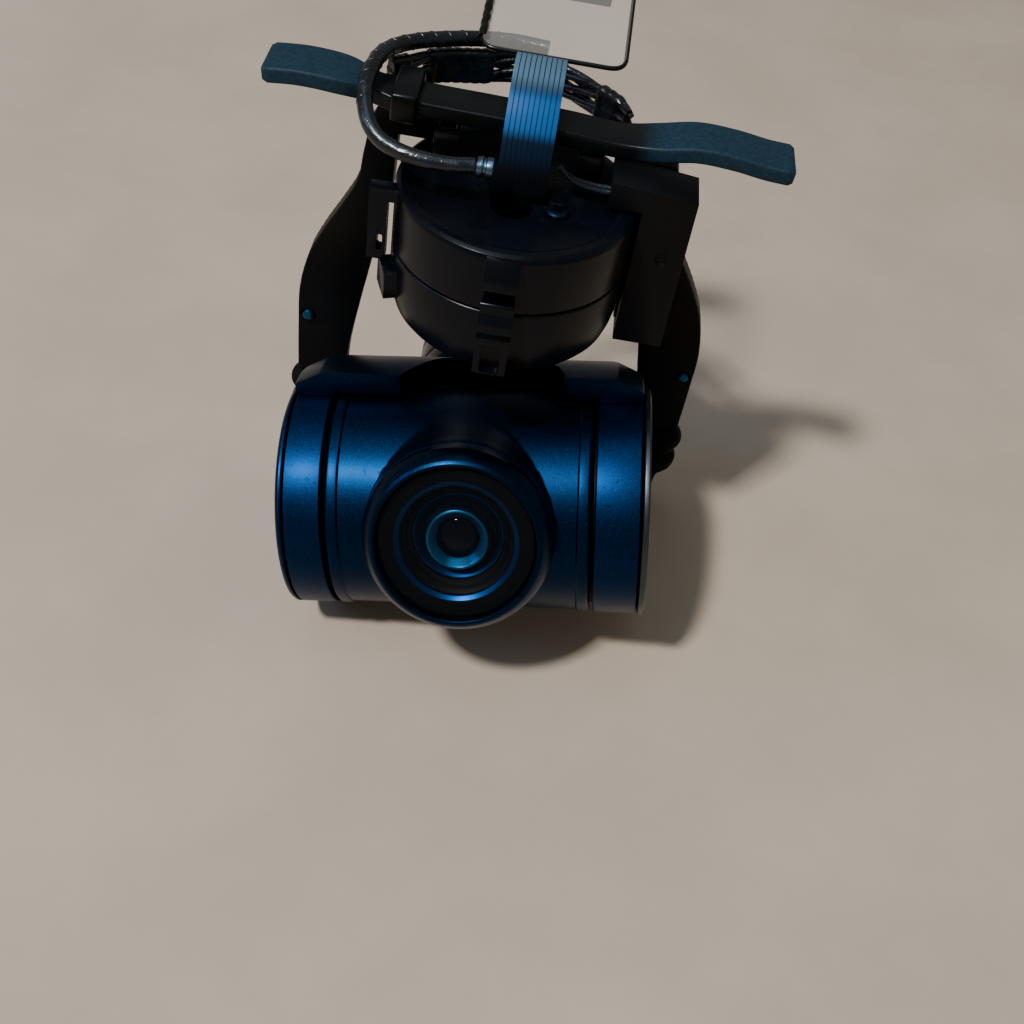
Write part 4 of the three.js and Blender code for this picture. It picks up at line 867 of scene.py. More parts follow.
# %% Upper housing
R_DRUM, SEAM_Z, ROOF_Z = 8.4, 21.8, 26.1
upper = turned("yaw_housing_upper", [
    (0, 25.3), (7.6, 25.3), (7.6, SEAM_Z), (8.32, SEAM_Z), (R_DRUM, SEAM_Z + 0.08), (R_DRUM, 25.85), (8.3, 26.14),
    (8.05, 26.3), (7.5, 26.3), (7.28, 26.2), (7.16, ROOF_Z), (0, ROOF_Z)], "z", AT["mount"], 192, soft=0.07)
nose_side = [(8.0, 23.9), (9.1, 23.9), (9.15, 24.0), (9.12, 24.5), (8.85, 25.1), (8.5, 25.8), (8.3, 26.1), (8.0, 26.1)]
front_turn = AT["mount"] @ turn(math.radians(-90), "Z") @ turn(math.radians(90), "X")
nose = pushed("nose", nose_side, -1.15, 1.15, front_turn)
ear = pushed("ear", [(-9.8, 20.45), (-9.8, 26.15), (-7.3, 26.15), (-7.3, 25.2), (-8.52, 25.2), (-8.52, 20.45)],
             1.9, 2.9, AT["mount"] @ turn(math.radians(90), "X"))
ear_slot = pushed("ear_slot", rounded_box(-9.15, -8.75, 21.2, 22.5, 0.18), 1.0, 4.0,
                  AT["mount"] @ turn(math.radians(90), "X"))
carve(ear, ear_slot)
weld(upper, nose, ear)
carve(upper,
      turned("hole", [(0, 20), (1.45, 20), (1.45, 40), (0, 40)], "z", AT["mount"] @ shift(-0.2, -2.3, 0), 64, soft=0),
      block("slot", -1.85, 2.25, -1.6, -0.6, 24, 40, AT["mount"]),
      turned("bore", [(0, 24.3), (0.5, 24.3), (0.5, 40), (0, 40)], "z", AT["mount"] @ shift(2.9, -2.4, 0), 32, soft=0))
finish_edges(upper, 0.1, 34, 2)
piece(upper, "mount", drum_plastic, "housing", "yaw_housing_upper")

# %% [markdown]
# The lower cup narrows in a soft curve to its foot. The snap loop is a plate that bends outwards
# across its middle, which catches the light, and below the bend it is open to the cup.

# %% Lower housing
lower = turned("yaw_housing_lower", [
    (2.85, 16.1), (7.2, 16.1), (7.65, 16.3), (7.98, 16.75), (8.2, 17.5), (8.34, 18.4), (R_DRUM, 19.4),
    (R_DRUM, 21.55), (8.3, 21.65), (7.6, 21.65), (7.6, 18.3), (6.6, 16.9), (3.5, 16.9), (3.5, 21.35), (2.85, 21.35)],
    "z", AT["mount"], 192, soft=0.1)
loop = pushed("loop", soften([(8.55, 22.8), (8.95, 22.88), (9.08, 22.7), (9.1, 22.1), (9.44, 21.4), (9.48, 20.8),
                              (9.2, 20.1), (9.12, 19.7), (9.15, 17.0), (9.0, 16.6), (8.7, 16.5), (7.8, 16.5),
                              (7.8, 18.7), (8.2, 21.05), (8.55, 21.45)], 0.2, 3), -1.15, 1.15, front_turn)
window_hole = pushed("window", rounded_box(-0.68, 0.68, 17.1, 19.5, 0.2), 8.42, 12,
                     AT["mount"] @ turn(math.radians(90), "X"))
carve(loop, window_hole)
block_at = AT["mount"] @ turn(math.radians(201), "Z")
catch_block = block("catch_block", 8.0, 9.25, -1.15, 1.15, 18.2, 20.3, block_at)
weld(lower, loop, catch_block)
vents = [turned("vent", [(0, 12), (0.7, 12), (0.7, 18.6), (0, 18.6)], "z",
                AT["mount"] @ turn(math.radians(60 * i + 30), "Z") @ shift(5.4, 0, 0), 24, soft=0) for i in range(6)]
carve(lower, *vents)
finish_edges(lower, 0.1, 34, 2)
piece(lower, "mount", drum_plastic, "housing", "yaw_housing_lower")

# %% [markdown]
# ## The driver box
# A closed plastic box beside the housing holds the motor drivers; its head leans over the roof to
# take the motor leads. It is pushed out as one side outline, its edges are rounded, and the small
# round mark that the moulding tool leaves is carved into its front.

# %% Driver box
box_outline = [(8.6, 15.6), (12.2, 15.6), (12.2, 28.0), (9.0, 28.35), (6.2, 28.6), (6.2, 26.62), (8.6, 26.62)]
driver = pushed("driver_box", box_outline, -2.1, 1.3, AT["mount"] @ turn(math.radians(90), "X"))
carve(driver,
      block("hollow", 9.1, 11.7, -0.8, 3.1, 16.1, 27.5, AT["mount"]),
      turned("dent", [(0, -2.3), (0.45, -2.3), (0.45, -1.12), (0, -1.12)], "y", AT["mount"] @ shift(10.6, 0, 23.2), 40,
             soft=0),
      block("lead_hole", 5.2, 9.2, -0.7, 0.4, 26.95, 27.55, AT["mount"]))
weld(driver, block("rib", 8.43, 8.8, 0.3, 1.8, 16.4, 26.0, AT["mount"]))
finish_edges(driver, 0.16, 34, 3)
piece(driver, "mount", box_plastic, "housing", "driver_box")
lid = block("driver_lid", 9.22, 11.58, 1.6, 2.1, 16.22, 27.38, AT["mount"])
finish_edges(lid, 0.1, 34, 2)
piece(lid, "mount", black_gloss, "black", "driver_lid")

# %% [markdown]
# ## The hanger legs
# Each leg is a flat moulded band that swings outwards and back, down to a foot that sat on a rubber
# damper. A band like this is a loft: at each height we know its outer edge, its inner edge and how
# far back it has swept, and a rounded rectangle joins them.

# %% Legs
LEG_OUTER = [(10.9, 27.4), (11.4, 24.6), (11.9, 21.6), (13.3, 18.1), (14.9, 14.7), (16.3, 11.2), (17.0, 7.8),
             (17.1, 3.8), (17.1, -1.2)]
LEG_INNER = [(8.9, 27.4), (9.1, 24.2), (9.4, 20.5), (10.1, 17.0), (10.8, 13.4), (11.4, 10.0), (12.1, 6.0),
             (12.7, 2.0), (12.9, -1.2)]


def edge_at(points):
    line = spline([(x, 0, z) for x, z in points], 240)

    def at(z):
        return min(line, key=lambda p: abs(p.z - z)).x

    return at


def leg(name, side):
    outer_at, inner_at = edge_at(LEG_OUTER), edge_at(LEG_INNER)
    bm = bmesh.new()
    rings = []
    count = 72
    for i in range(count + 1):
        z = 27.4 - 28.6 * i / count
        t = min(max((26.5 - z) / 16.5, 0), 1)
        y = 4.6 + 4.6 * t * t * (3 - 2 * t)
        squeeze = 0.12 if i in (0, count) else 0.0
        x0, x1 = inner_at(z) + squeeze, outer_at(z) - squeeze
        outline = rounded_box(x0, x1, -0.9 + squeeze, 0.9 - squeeze, 0.22, 3)
        rings.append([bm.verts.new((u * side, y + v, z)) for u, v in outline])
    for a, b in zip(rings, rings[1:]):
        n = len(a)
        for k in range(n):
            bm.faces.new((a[k], a[(k + 1) % n], b[(k + 1) % n], b[k]))
    bm.faces.new(rings[0])
    bm.faces.new(rings[-1])
    obj = to_object(name, bm, AT["mount"])
    flange = block("flange", min(6.4 * side, 10.5 * side), max(6.4 * side, 10.5 * side), 3.7, 5.5, 26.42, 27.5,
                   AT["mount"])
    weld(obj, flange)
    hole = turned("hole", [(0, 0), (0.62, 0), (0.62, 30), (0, 30)], "y", AT["mount"] @ shift(16.2 * side, 0, 5.2), 32,
                  soft=0)
    carve(obj, hole)
    return smooth(obj, 32)


for side, label in ((-1, "left"), (1, "right")):
    piece(leg(f"hanger_leg_{label}", side), "mount", leg_plastic, "leg", f"hanger_leg_{label}")
    pin = turned(f"leg_pin_{label}", [(0, 7.95), (0.3, 7.98), (0.45, 8.08), (0.5, 8.25), (0.5, 10.4), (0, 10.4)], "y",
                 AT["mount"] @ shift(16.2 * side, 0, 5.2), 48, soft=0.03)
    piece(smooth(pin, 50), "mount", pin_blue, "silver", f"leg_pin_{label}")

# %% [markdown]
# The dampers are soft rubber bulbs with a waist that sat in a hole of the frame, and a tail by
# which they are pulled in. The profile is a smooth line rather than straight steps, because
# moulded rubber has no corners.

# %% Dampers
bulb = [(0, -1.32), (0.9, -1.34), (1.45, -1.7), (1.8, -2.3), (1.78, -2.9), (1.3, -3.4), (1.18, -3.8), (1.3, -4.2),
        (1.72, -4.7), (1.66, -5.6), (1.2, -6.4), (0.78, -6.95), (0.52, -7.7), (0.42, -9.2), (0.36, -11.3),
        (0.2, -11.5), (0, -11.52)]
bulb_line = [(max(p.x, 0), p.y) for p in spline([(r, z, 0) for r, z in bulb], 90)]
bulb_line[0], bulb_line[-1] = (0, -1.32), (0, -11.52)
for side, label in ((-1, "left"), (1, "right")):
    damper = turned(f"damper_{label}", bulb_line, "z", AT["mount"] @ shift(16.0 * side, 9.2, 0), 64, soft=0,
                    closed=False)
    piece(smooth(damper, 60), "mount", damper_rubber, "rubber", f"damper_{label}")

# %% [markdown]
# ## The suspension bar
# A springy bar crosses the gimbal; its two tongues slide into slots of the drone. It is one section
# swept along a gentle wave, slightly narrower and thinner at the very ends, with soft edges.

# %% Suspension bar
BAR_TOP = [(-18.1, 31.1), (-15.5, 31.3), (-12.6, 31.1), (-10, 30.5), (-7, 30.3), (-2, 30.2), (3, 30.0), (6.5, 29.8),
           (9, 30.1), (11.6, 30.6), (14.4, 30.5), (16.6, 30.2), (18.4, 30.1)]
top_line = spline([(x, 3.1, z) for x, z in BAR_TOP], 96)
bar_line = []
for i, p in enumerate(top_line):
    along = (top_line[min(i + 1, 96)] - top_line[max(i - 1, 0)]).normalized()
    bar_line.append(p - Vector((-along.z, 0, along.x)) * 0.575)

def bar_width(x):
    """Full at the tongues, narrow at the left neck and a little narrow between the posts."""
    neck = math.exp(-((x + 10.6) / 1.5) ** 2) * 0.34
    waist = 0.2 / (1 + math.exp((x - 8.2) / 0.7)) / (1 + math.exp((-x - 11.0) / 0.7))
    return 1.0 - max(neck, waist)


ends = [(bar_width(p.x), 1.0) for p in bar_line]
ends[0] = ends[-1] = (0.9, 0.8)
bar = swept("suspension_bar", bar_line, rounded_box(-1.9, 1.9, -0.575, 0.575, 0.26, 5), AT["mount"], scale=ends)
piece(smooth(bar, 40), "mount", bar_rubber, "bar", "suspension_bar")
saddle = pushed("bar_saddle", [(0.95, 28.9), (0.95, 30.95), (5.2, 30.95), (5.2, 28.9), (4.75, 28.9), (4.75, 30.5),
                               (1.4, 30.5), (1.4, 28.9)], -9.3, -7.5, AT["mount"] @ AXES["x"])
finish_edges(saddle, 0.22, 34, 3)
piece(saddle, "mount", bar_rubber, "bar", "bar_saddle")
for x, label in ((-5.4, "left"), (4.6, "right")):
    post = block("post", x - 0.9, x + 0.9, 1.7, 4.3, 26.42, 28.35, AT["mount"])
    weld(post, block("tip", x - 0.6, x + 0.6, 2.1, 3.9, 28.2, 28.6, AT["mount"]))
    finish_edges(post, 0.14, 34, 2)
    post.name = f"bar_post_{label}"
    piece(post, "mount", black_gloss, "black", f"bar_post_{label}")

# %% [markdown]
# ## Tubes along paths, with Geometry Nodes
# Leads, strands, traces and beads all follow a path, so one node tree makes them: a mesh of
# polylines becomes curves, a circle of the wanted radius is carried along them, and the material
# is set. The sizes are named inputs of the tree, set on the modifier by each socket's identifier.

# %% Path-following tree


def node_tree_with(name, inputs):
    tree = bpy.data.node_groups.new(name, "GeometryNodeTree")
    tree.interface.new_socket("Geometry", in_out="INPUT", socket_type="NodeSocketGeometry")
    for label, kind in inputs:
        tree.interface.new_socket(label, in_out="INPUT", socket_type=kind)
    tree.interface.new_socket("Geometry", in_out="OUTPUT", socket_type="NodeSocketGeometry")
    return tree, Tree(tree), tree.nodes.new("NodeGroupInput"), tree.nodes.new("NodeGroupOutput")


def run_nodes(obj, tree, values):
    """Sets the tree's named inputs, evaluates it once and keeps the plain mesh."""
    mod = obj.modifiers.new("nodes", "NODES")
    mod.node_group = tree
    names = {item.name: item.identifier for item in tree.interface.items_tree
             if item.item_type == "SOCKET" and item.in_out == "INPUT"}
    for label, value in values.items():
        mod[names[label]] = value
    return apply_modifiers(obj)


tubes, t, entry, leave = node_tree_with("tubes_along_paths", [
    ("Radius", "NodeSocketFloat"), ("Sides", "NodeSocketInt"), ("Points", "NodeSocketInt"),
    ("Finish", "NodeSocketMaterial")])
given = {s.name: Sock(t, s) for s in entry.outputs if s.name}
curves = t.add("GeometryNodeMeshToCurve", {}, {0: given["Geometry"]})
even = t.add("GeometryNodeResampleCurve", {"mode": "COUNT"}, {"Curve": curves, "Count": given["Points"]})
ring_curve = t.add("GeometryNodeCurvePrimitiveCircle", {"mode": "RADIUS"},
                   {"Resolution": given["Sides"], "Radius": given["Radius"]})
tube = t.add("GeometryNodeCurveToMesh", {}, {"Curve": even, "Profile Curve": ring_curve, "Fill Caps": True})
soft_tube = t.add("GeometryNodeSetShadeSmooth", {}, {"Geometry": tube, "Shade Smooth": True})
whole = t.add("GeometryNodeRealizeInstances", {}, {"Geometry": soft_tube})
coated = t.add("GeometryNodeSetMaterial", {}, {"Geometry": whole, "Material": given["Finish"]})
tubes.links.new(coated.socket, leave.inputs[0])


def tubed(name, lines, radius, material, sides=16, points=64, at=AT["mount"]):
    bm = bmesh.new()
    for line in lines:
        verts = [bm.verts.new(p) for p in line]
        for a, b in zip(verts, verts[1:]):
            bm.edges.new((a, b))
    bmesh.ops.transform(bm, matrix=Matrix.Scale(MM, 4) @ at, verts=bm.verts)
    mesh = bpy.data.meshes.new(name)
    bm.to_mesh(mesh)
    bm.free()
    obj = bpy.data.objects.new(name, mesh)
    bpy.context.scene.collection.objects.link(obj)
    run_nodes(obj, tubes, {"Radius": radius * MM, "Sides": sides, "Points": points, "Finish": material})
    return outwards(obj)


def outwards(obj):
    bm = bmesh.new()
    bm.from_mesh(obj.data)
    bmesh.ops.recalc_face_normals(bm, faces=bm.faces)
    bm.to_mesh(obj.data)
    bm.free()
    return obj


print("tree inputs:", [s.name for s in entry.outputs if s.name])

# %% [markdown]
# ## The cable loop
# Thin coax leads run round the back in a flat bundle, and glossy tape holds them together in
# places. The strands wander past one another a little, which is a slow sine for each, with its own
# start. The tape is a flat sleeve swept over a part of the same path.

# %% Bundle and its tape
BUNDLE = [(-10.1, 5.9, 29.6), (-9, 7, 29.5), (-7, 8.9, 29.3), (-4.4, 9.9, 29.2), (-1.9, 10.6, 29.2), (1.6, 10.2, 29.1),
          (4.4, 8.3, 29.1), (6.3, 6.6, 29.0), (6.8, 5.7, 28.9)]
bundle_line = spline(BUNDLE, 90)


def strand(k, count):
    out = []
    for i, p in enumerate(bundle_line):
        along = (bundle_line[min(i + 1, 90)] - bundle_line[max(i - 1, 0)]).normalized()
        outward = Vector((along.y, -along.x, 0)).normalized()
        phase = 2 * math.pi * (i / 90 * 0.8 + k / count)
        out.append(p + outward * 0.2 * math.cos(phase) + Vector((0, 0, 0.96 * math.sin(phase))))
    return out


strands = tubed("cable_strands", [strand(k, 7) for k in range(7)], 0.27, cable_wrap, 14, 90)
sleeve_section = rounded_box(-0.47, 0.47, -1.3, 1.3, 0.42, 5)
sleeves = []
for i, (a, b) in enumerate(((0, 9), (16, 38), (52, 60), (72, 82))):
    part = bundle_line[a:b + 1]
    sizes = [(1.0 - 0.05 * (0.5 + 0.5 * math.cos(k * 2.1)),) * 2 for k in range(len(part))]
    sizes[0] = sizes[-1] = (0.88, 0.88)
    sleeves.append(swept("sleeve", part, sleeve_section, AT["mount"], scale=sizes))
cable_bundle = merge("cable_bundle", strands, *sleeves)
piece(smooth(cable_bundle, 50), "mount", cable_wrap, "cable", "cable_bundle")

# %% [markdown]
# One thicker lead goes over the neck of the bar and round the front, and ends in a crimped metal
# ferrule by the flex. Tape winds round it, and its turns show as low ridges, so the tube gets a
# second, thinner tube coiled round it.

# %% Lead, ferrule and motor leads
LEAD = [(0.5, 10.3, 31.2), (-2.0, 10.5, 31.2), (-4.6, 9.9, 31.25), (-6.9, 8.8, 31.35), (-8.4, 7.7, 31.5),
        (-9.8, 6.3, 31.6), (-10.6, 4.6, 31.7), (-10.9, 2.8, 31.6), (-11.0, 1.0, 31.2), (-10.7, -0.6, 30.6),
        (-10.1, -1.8, 30.0), (-9.1, -2.6, 29.5), (-6.9, -3.3, 29.2), (-4.5, -3.3, 29.1), (-3.0, -3.0, 29.1)]
lead_line = spline(LEAD, 160)


def coil(line, radius, turns, start=0.0, end=1.0):
    out = []
    n = len(line) - 1
    side = None
    steps = int(turns * 14)
    for s in range(steps + 1):
        f = (start + (end - start) * s / steps) * n
        i = min(int(f), n - 1)
        p = line[i].lerp(line[i + 1], f - i)
        along = (line[i + 1] - line[i]).normalized()
        side = along.orthogonal().normalized() if side is None else (side - along * side.dot(along)).normalized()
        other = along.cross(side)
        a = 2 * math.pi * turns * s / steps
        out.append(p + (side * math.cos(a) + other * math.sin(a)) * radius)
    return out


lead_core = tubed("lead_core", [lead_line], 0.54, cable_wrap, 24, 160)
lead_tape = tubed("lead_tape", [coil(lead_line, 0.5, 14, 0.1, 0.66)], 0.09, cable_wrap, 8, 260)
lead = merge("cable_lead", lead_core, lead_tape)
piece(smooth(lead, 50), "mount", cable_wrap, "cable", "cable_lead")
ferrule = turned("cable_ferrule", [
    (0.3, -2.85), (0.6, -2.82), (0.68, -2.6), (0.68, -2.45), (0.58, -2.38), (0.58, -2.22), (0.68, -2.15),
    (0.7, -1.75), (0.6, -1.7), (0.3, -1.7)], "x", AT["mount"] @ shift(0, -2.95, 29.1), 64, soft=0.04)
piece(smooth(ferrule, 50), "mount", nickel, "steel", "cable_ferrule")
for i in (0, 1):
    z, y = 27.25, -0.4 + 0.5 * i
    path = spline([(2.55, -0.9 + i * 0.5, z + 1.6 - i * 0.4), (3.6, y - 0.2, z + 0.5 - i * 0.1), (5.2, y, z),
                   (7.4, y, z)], 40)
    motor_lead = tubed(f"motor_lead_{i + 1}", [path], 0.2, cable_wrap, 12, 40)
    piece(smooth(motor_lead, 50), "mount", cable_wrap, "cable", f"motor_lead_{i + 1}")

# %% [markdown]
# ## The flex
# The flat flex leaves the housing through its slot, stands up in front of the bar and bows over to
# the connector panel. It is a thin strip swept along its own curve. The copper traces under the
# film stand up as fine lines, made by the same tree as the leads.

# %% Ribbon and traces
RIBBON = [(-0.95, 25.4), (-0.95, 26.6), (-0.6, 28.6), (0.1, 30.4), (1.4, 32.0), (3.4, 33.0), (5.6, 32.9), (7.4, 32.1)]
outer_face = spline([(0.2, y, z) for y, z in RIBBON], 90)
ribbon_mid, ribbon_top = [], []
for i, p in enumerate(outer_face):
    along = (outer_face[min(i + 1, 90)] - outer_face[max(i - 1, 0)]).normalized()
    away = Vector((0, -along.z, along.y))
    ribbon_mid.append(p - away * 0.15)
    ribbon_top.append(p - away * 0.005)
ribbon = swept("ribbon_strip", ribbon_mid, rounded_box(-1.75, 1.75, -0.15, 0.15, 0.06, 2), AT["mount"],
               up_hint=Vector((0, -1, 0)))
piece(smooth(ribbon, 40), "mount", flex_film, "flex", "flex_ribbon")
lines = [[p + Vector((x, 0, 0)) for p in ribbon_top[8:]] for x in (-1.4 + 0.35 * k for k in range(9))]
traces = tubed("flex_traces", lines, 0.035, flex_copper, 6, 70)
piece(smooth(traces, 60), "mount", flex_copper, "flex")

# %% [markdown]
# The panel is a clear plate with rounded corners, hardly visible but for the dark bead along its
# edge. The bead is a little thicker on the left. The connector hides under its back.

# %% Panel and connector
PANEL_HALF, PANEL_L, PANEL_T, PANEL_TILT = 5.1, 12, 0.5, math.radians(12)
panel_at = AT["mount"] @ shift(0.9, 7.8, 31.6) @ turn(PANEL_TILT, "X")
plate_outline = rounded_box(-PANEL_HALF, PANEL_HALF, 0, PANEL_L, 1.2, 8)
plate = pushed("flex_panel", plate_outline, 0, PANEL_T, panel_at)
finish_edges(plate, 0.08, 34, 2)
piece(plate, "mount", panel_film, "panel", "flex_panel")
inset = [(x, y, PANEL_T / 2) for x, y in plate_outline]
bead = tubed("panel_bead", [[Vector(p) for p in inset + inset[:1]]], 0.17, bead_dark, 12, 200, panel_at)
left_edge = [Vector((-5.08 + 0.03 * math.sin(y * 7), y, 0.27 + 0.03 * math.sin(y * 5)))
             for y in (1.0 + 0.25 * k for k in range(40))]
left_bead = tubed("panel_bead_left", [left_edge], 0.34, black_gloss, 10, 80, panel_at)
piece(smooth(merge("panel_edge", bead, left_bead), 50), "mount", black_gloss, "black")
plug = block("flex_connector", -3.6, 3.6, 8.5, 11.5, -1.3, -0.12, panel_at)
weld(plug, block("plug_face", -3.1, 3.1, 8.9, 11.1, -1.6, -1.2, panel_at))
finish_edges(plug, 0.12, 34, 2)
piece(plug, "mount", black_gloss, "black", "flex_connector")

# %% [markdown]
# ## Screws
# The five small cross-head screws are one mesh, repeated. A point stands at each head, with its
# turn and its size as attributes, and the tree puts an instance on every point, makes them real
# and gives them their metal. Each body gets its own set, because each moves by itself.

# %% Screw tree
screw_mesh = turned("screw_master", [(0, 0), (0.62, 0), (0.9, -0.06), (1.0, -0.2), (1.0, -0.45), (0.45, -0.45),
                                     (0.45, -0.5), (0, -0.5)], "z", Matrix.Scale(1 / MM, 4), 40, soft=0.03)
carve(screw_mesh, block("slot_a", -0.6, 0.6, -0.13, 0.13, -0.22, 1, Matrix.Scale(1 / MM, 4)),
      block("slot_b", -0.13, 0.13, -0.6, 0.6, -0.22, 1, Matrix.Scale(1 / MM, 4)))
smooth(screw_mesh, 35)
screws, t, entry, leave = node_tree_with("screws_at_points", [
    ("Screw", "NodeSocketObject"), ("Finish", "NodeSocketMaterial")])
given = {s.name: Sock(t, s) for s in entry.outputs if s.name}
info = t.add("GeometryNodeObjectInfo", {}, {"Object": given["Screw"]}, out="Geometry")
turned_by = t.add("GeometryNodeInputNamedAttribute", {"data_type": "FLOAT_VECTOR"}, {"Name": "turn"})
sized_by = t.add("GeometryNodeInputNamedAttribute", {"data_type": "FLOAT_VECTOR"}, {"Name": "size"})
placed = t.add("GeometryNodeInstanceOnPoints", {}, {"Points": given["Geometry"], "Instance": info,
                                                    "Rotation": turned_by, "Scale": sized_by})
real = t.add("GeometryNodeRealizeInstances", {}, {"Geometry": placed})
metalled = t.add("GeometryNodeSetMaterial", {}, {"Geometry": real, "Material": given["Finish"]})
screws.links.new(metalled.socket, leave.inputs[0])


def screw_set(name, places, metal_finish):
    mesh = bpy.data.meshes.new(name)
    mesh.from_pydata([(m @ Vector((0, 0, 0))) * MM for m, _ in places], [], [])
    spin = mesh.attributes.new("turn", "FLOAT_VECTOR", "POINT")
    size = mesh.attributes.new("size", "FLOAT_VECTOR", "POINT")
    for i, (m, r) in enumerate(places):
        spin.data[i].vector = m.to_euler()
        size.data[i].vector = (r * MM, r * MM, r * MM)
    obj = bpy.data.objects.new(name, mesh)
    bpy.context.scene.collection.objects.link(obj)
    run_nodes(obj, screws, {"Screw": screw_mesh, "Finish": metal_finish})
    return smooth(outwards(obj), 35)


def yoke_seat(x, degrees):
    a = math.radians(degrees)
    radius = 10.98
    return (AT["barrel"] @ shift(x, 0.45 + radius * math.sin(a), 0.6 + radius * math.cos(a)) @ turn(-a, "X"))


piece(screw_set("housing_screws", [(AT["mount"] @ shift(2.9, -2.4, 26.57) @ turn(0.5, "Z"), 0.8)], dark_steel),
      "mount", dark_steel, "steel", "housing_screw")
piece(screw_set("cover_screws", [(AT["yaw"] @ shift(x, 13.19, 0) @ turn(math.radians(-90), "X"), 0.9)
                                 for x in (-4.6, 4.6)], steel),
      "yaw", steel, "steel", "roll_cover_screw_1", "roll_cover_screw_2")
piece(screw_set("yoke_screws", [(yoke_seat(-9.0, 66), 0.95), (yoke_seat(9.0, 66), 0.95)], dark_steel),
      "roll", dark_steel, "steel", "yoke_screw_left", "yoke_screw_right")
bpy.data.objects.remove(screw_mesh)

# %% [markdown]
# ## The yaw arm and the roll motor
# Under the housing the yaw arm reaches back and turns down behind the barrel to the roll motor's
# can. Seen from the back it is the main part, so its bend is rounded and its edges are softened.

# %% Yaw arm and roll housing
ARM = [(-1, 14.35), (9.07, 14.35), (10.4, 13.95), (11.0, 13.35), (11.27, 12.15), (11.27, -4.2), (12.67, -4.2),
       (12.67, 12.95), (12.45, 14.1), (11.8, 15.1), (10.9, 15.6), (9.87, 15.75), (-1, 15.75)]
arm = pushed("yaw_arm", soften(ARM, 0.25, 3), -2.8, 2.8, AT["yaw"] @ AXES["x"])
weld(arm, turned("hub", [(0, 14.35), (3.9, 14.35), (3.9, 15.75), (0, 15.75)], "z", AT["yaw"], 96, soft=0.04),
     turned("cover", [(0, 11.27), (6.2, 11.27), (6.2, 12.5), (6.05, 12.67), (0, 12.67)], "y", AT["yaw"], 128,
            soft=0.04))
carve(arm, turned("shaft", [(0, 12), (1.72, 12), (1.72, 18), (0, 18)], "z", AT["yaw"], 48, soft=0),
      pushed("cable_slot", rounded_box(-1.1, 1.1, 9.67, 13.47, 1.05, 8), -20, 0,
             AT["yaw"] @ turn(math.radians(90), "X")),
      *[turned("hole", [(0, 10), (0.55, 10), (0.55, 15), (0, 15)], "y", AT["yaw"] @ shift(x, 0, 0), 32, soft=0)
        for x in (-4.6, 4.6)])
finish_edges(arm, 0.14, 34, 2)
piece(arm, "yaw", satin_shell, "satin_shell", "yaw_arm")
roll_can = turned("roll_housing", [
    (2.25, 6.65), (5.9, 6.65), (6.12, 6.75), (6.2, 7.0), (6.2, 8.4), (6.1, 8.5), (6.1, 8.7), (6.2, 8.8), (6.2, 11.15),
    (5.5, 11.15), (5.5, 7.35), (2.75, 7.35), (2.75, 9.65), (2.25, 9.65)], "y", AT["yaw"], 160, soft=0.05)
piece(smooth(roll_can, 30), "yaw", drum_plastic, "housing", "roll_housing")

# %% [markdown]
# ## Inside pieces
# What stays as the CAD made it is mostly hidden: motors, bearings, boards and tubes. Each still gets
# a proper finish, chosen by its name.

# %% Finishes of the inside pieces
INSIDE = {"bearing": steel, "stator": copper, "rotor": dark_steel, "magnet": nickel, "board": board_green,
          "axle": steel, "tube": lens_black, "heat": nickel, "driver": black_gloss}
kept = []
for name, node in nodes.items():
    if name in dressed or node.type != "MESH":
        continue
    chosen = next((look for key, look in INSIDE.items() if key in name), black_gloss)
    if not node.material_slots:
        node.data.materials.append(chosen)
    for place in node.material_slots:
        place.material = chosen
    kept.append(name)
print("kept from the CAD:", sorted(kept))

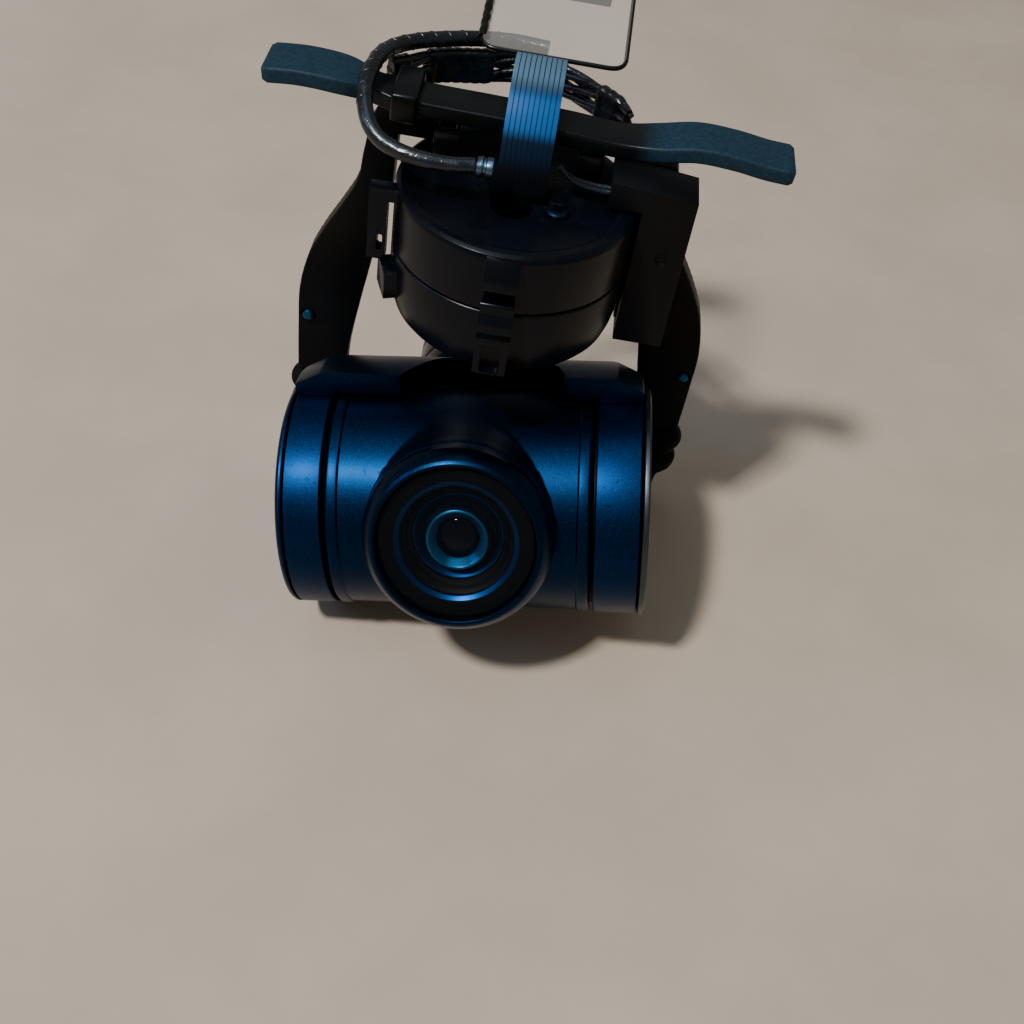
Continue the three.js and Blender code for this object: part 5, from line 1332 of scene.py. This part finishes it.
# %% [markdown]
# ## Floor and light
# The gimbal stands on a plain pale surface, on the tails of its dampers. The key is a small soft
# light at the front left, so the shadow falls to the right and behind. Two weaker bluish lights,
# overhead and at the left, bring out the lacquer, and a warm, even sky keeps the shadow open.

# %% Floor, lights and sky
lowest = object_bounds()[0].z
floor_mesh = bpy.data.meshes.new("floor")
floor_mesh.from_pydata([(-2, -2, lowest), (2, -2, lowest), (2, 2, lowest), (-2, 2, lowest)], [], [(0, 1, 2, 3)])
floor = bpy.data.objects.new("floor", floor_mesh)
bpy.context.scene.collection.objects.link(floor)
floor.data.materials.append(finish("pale_floor", lambda t, place: {
    "Base Color": t.mix(t.ramp(t.noise(place, 60, 4, 0.6), 0.3, 0.7), rgb(0.36, 0.285, 0.215), rgb(0.4, 0.318, 0.24)),
    "Roughness": 0.85}))
floor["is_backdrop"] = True


def area(name, place, aim, size, power, colour):
    data = bpy.data.lights.new(name, "AREA")
    data.energy, data.size, data.color = power, size, colour
    lamp = bpy.data.objects.new(name, data)
    lamp.location = place
    lamp.rotation_euler = (Vector(place) - Vector(aim)).to_track_quat("Z", "Y").to_euler()
    bpy.context.scene.collection.objects.link(lamp)


# name, place, point it faces, width in metres, power in watts, colour
LIGHTS = [
    ("key", (-0.25, -0.285, 0.55), (0, 0, -0.02), 0.055, 6.6, (0.96, 0.97, 1.0)),
    ("overhead", (-0.08, 0.03, 0.5), (0, 0, -0.02), 0.3, 0.44, (0.5, 0.78, 1.0)),
    ("left", (-0.45, -0.1, 0.25), (0, 0, 0.0), 0.16, 0.5, (0.35, 0.55, 1.0)),
]
for light in LIGHTS:
    area(*light)
world = bpy.data.worlds.new("sky")
bpy.context.scene.world = world
world.use_nodes = True
world.node_tree.nodes["Background"].inputs["Color"].default_value = rgb(1.0, 0.96, 0.9)
world.node_tree.nodes["Background"].inputs["Strength"].default_value = 0.26
print("floor at", round(lowest / MM, 2), "mm")

# %% [markdown]
# ## Size and finish
# Last we print both boxes side by side.

# %% Finish
new_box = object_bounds()
for label, (a, b) in (("cad", cad_box), ("visual", new_box)):
    print(label, [round((b[k] - a[k]) / MM, 2) for k in range(3)], "mm")
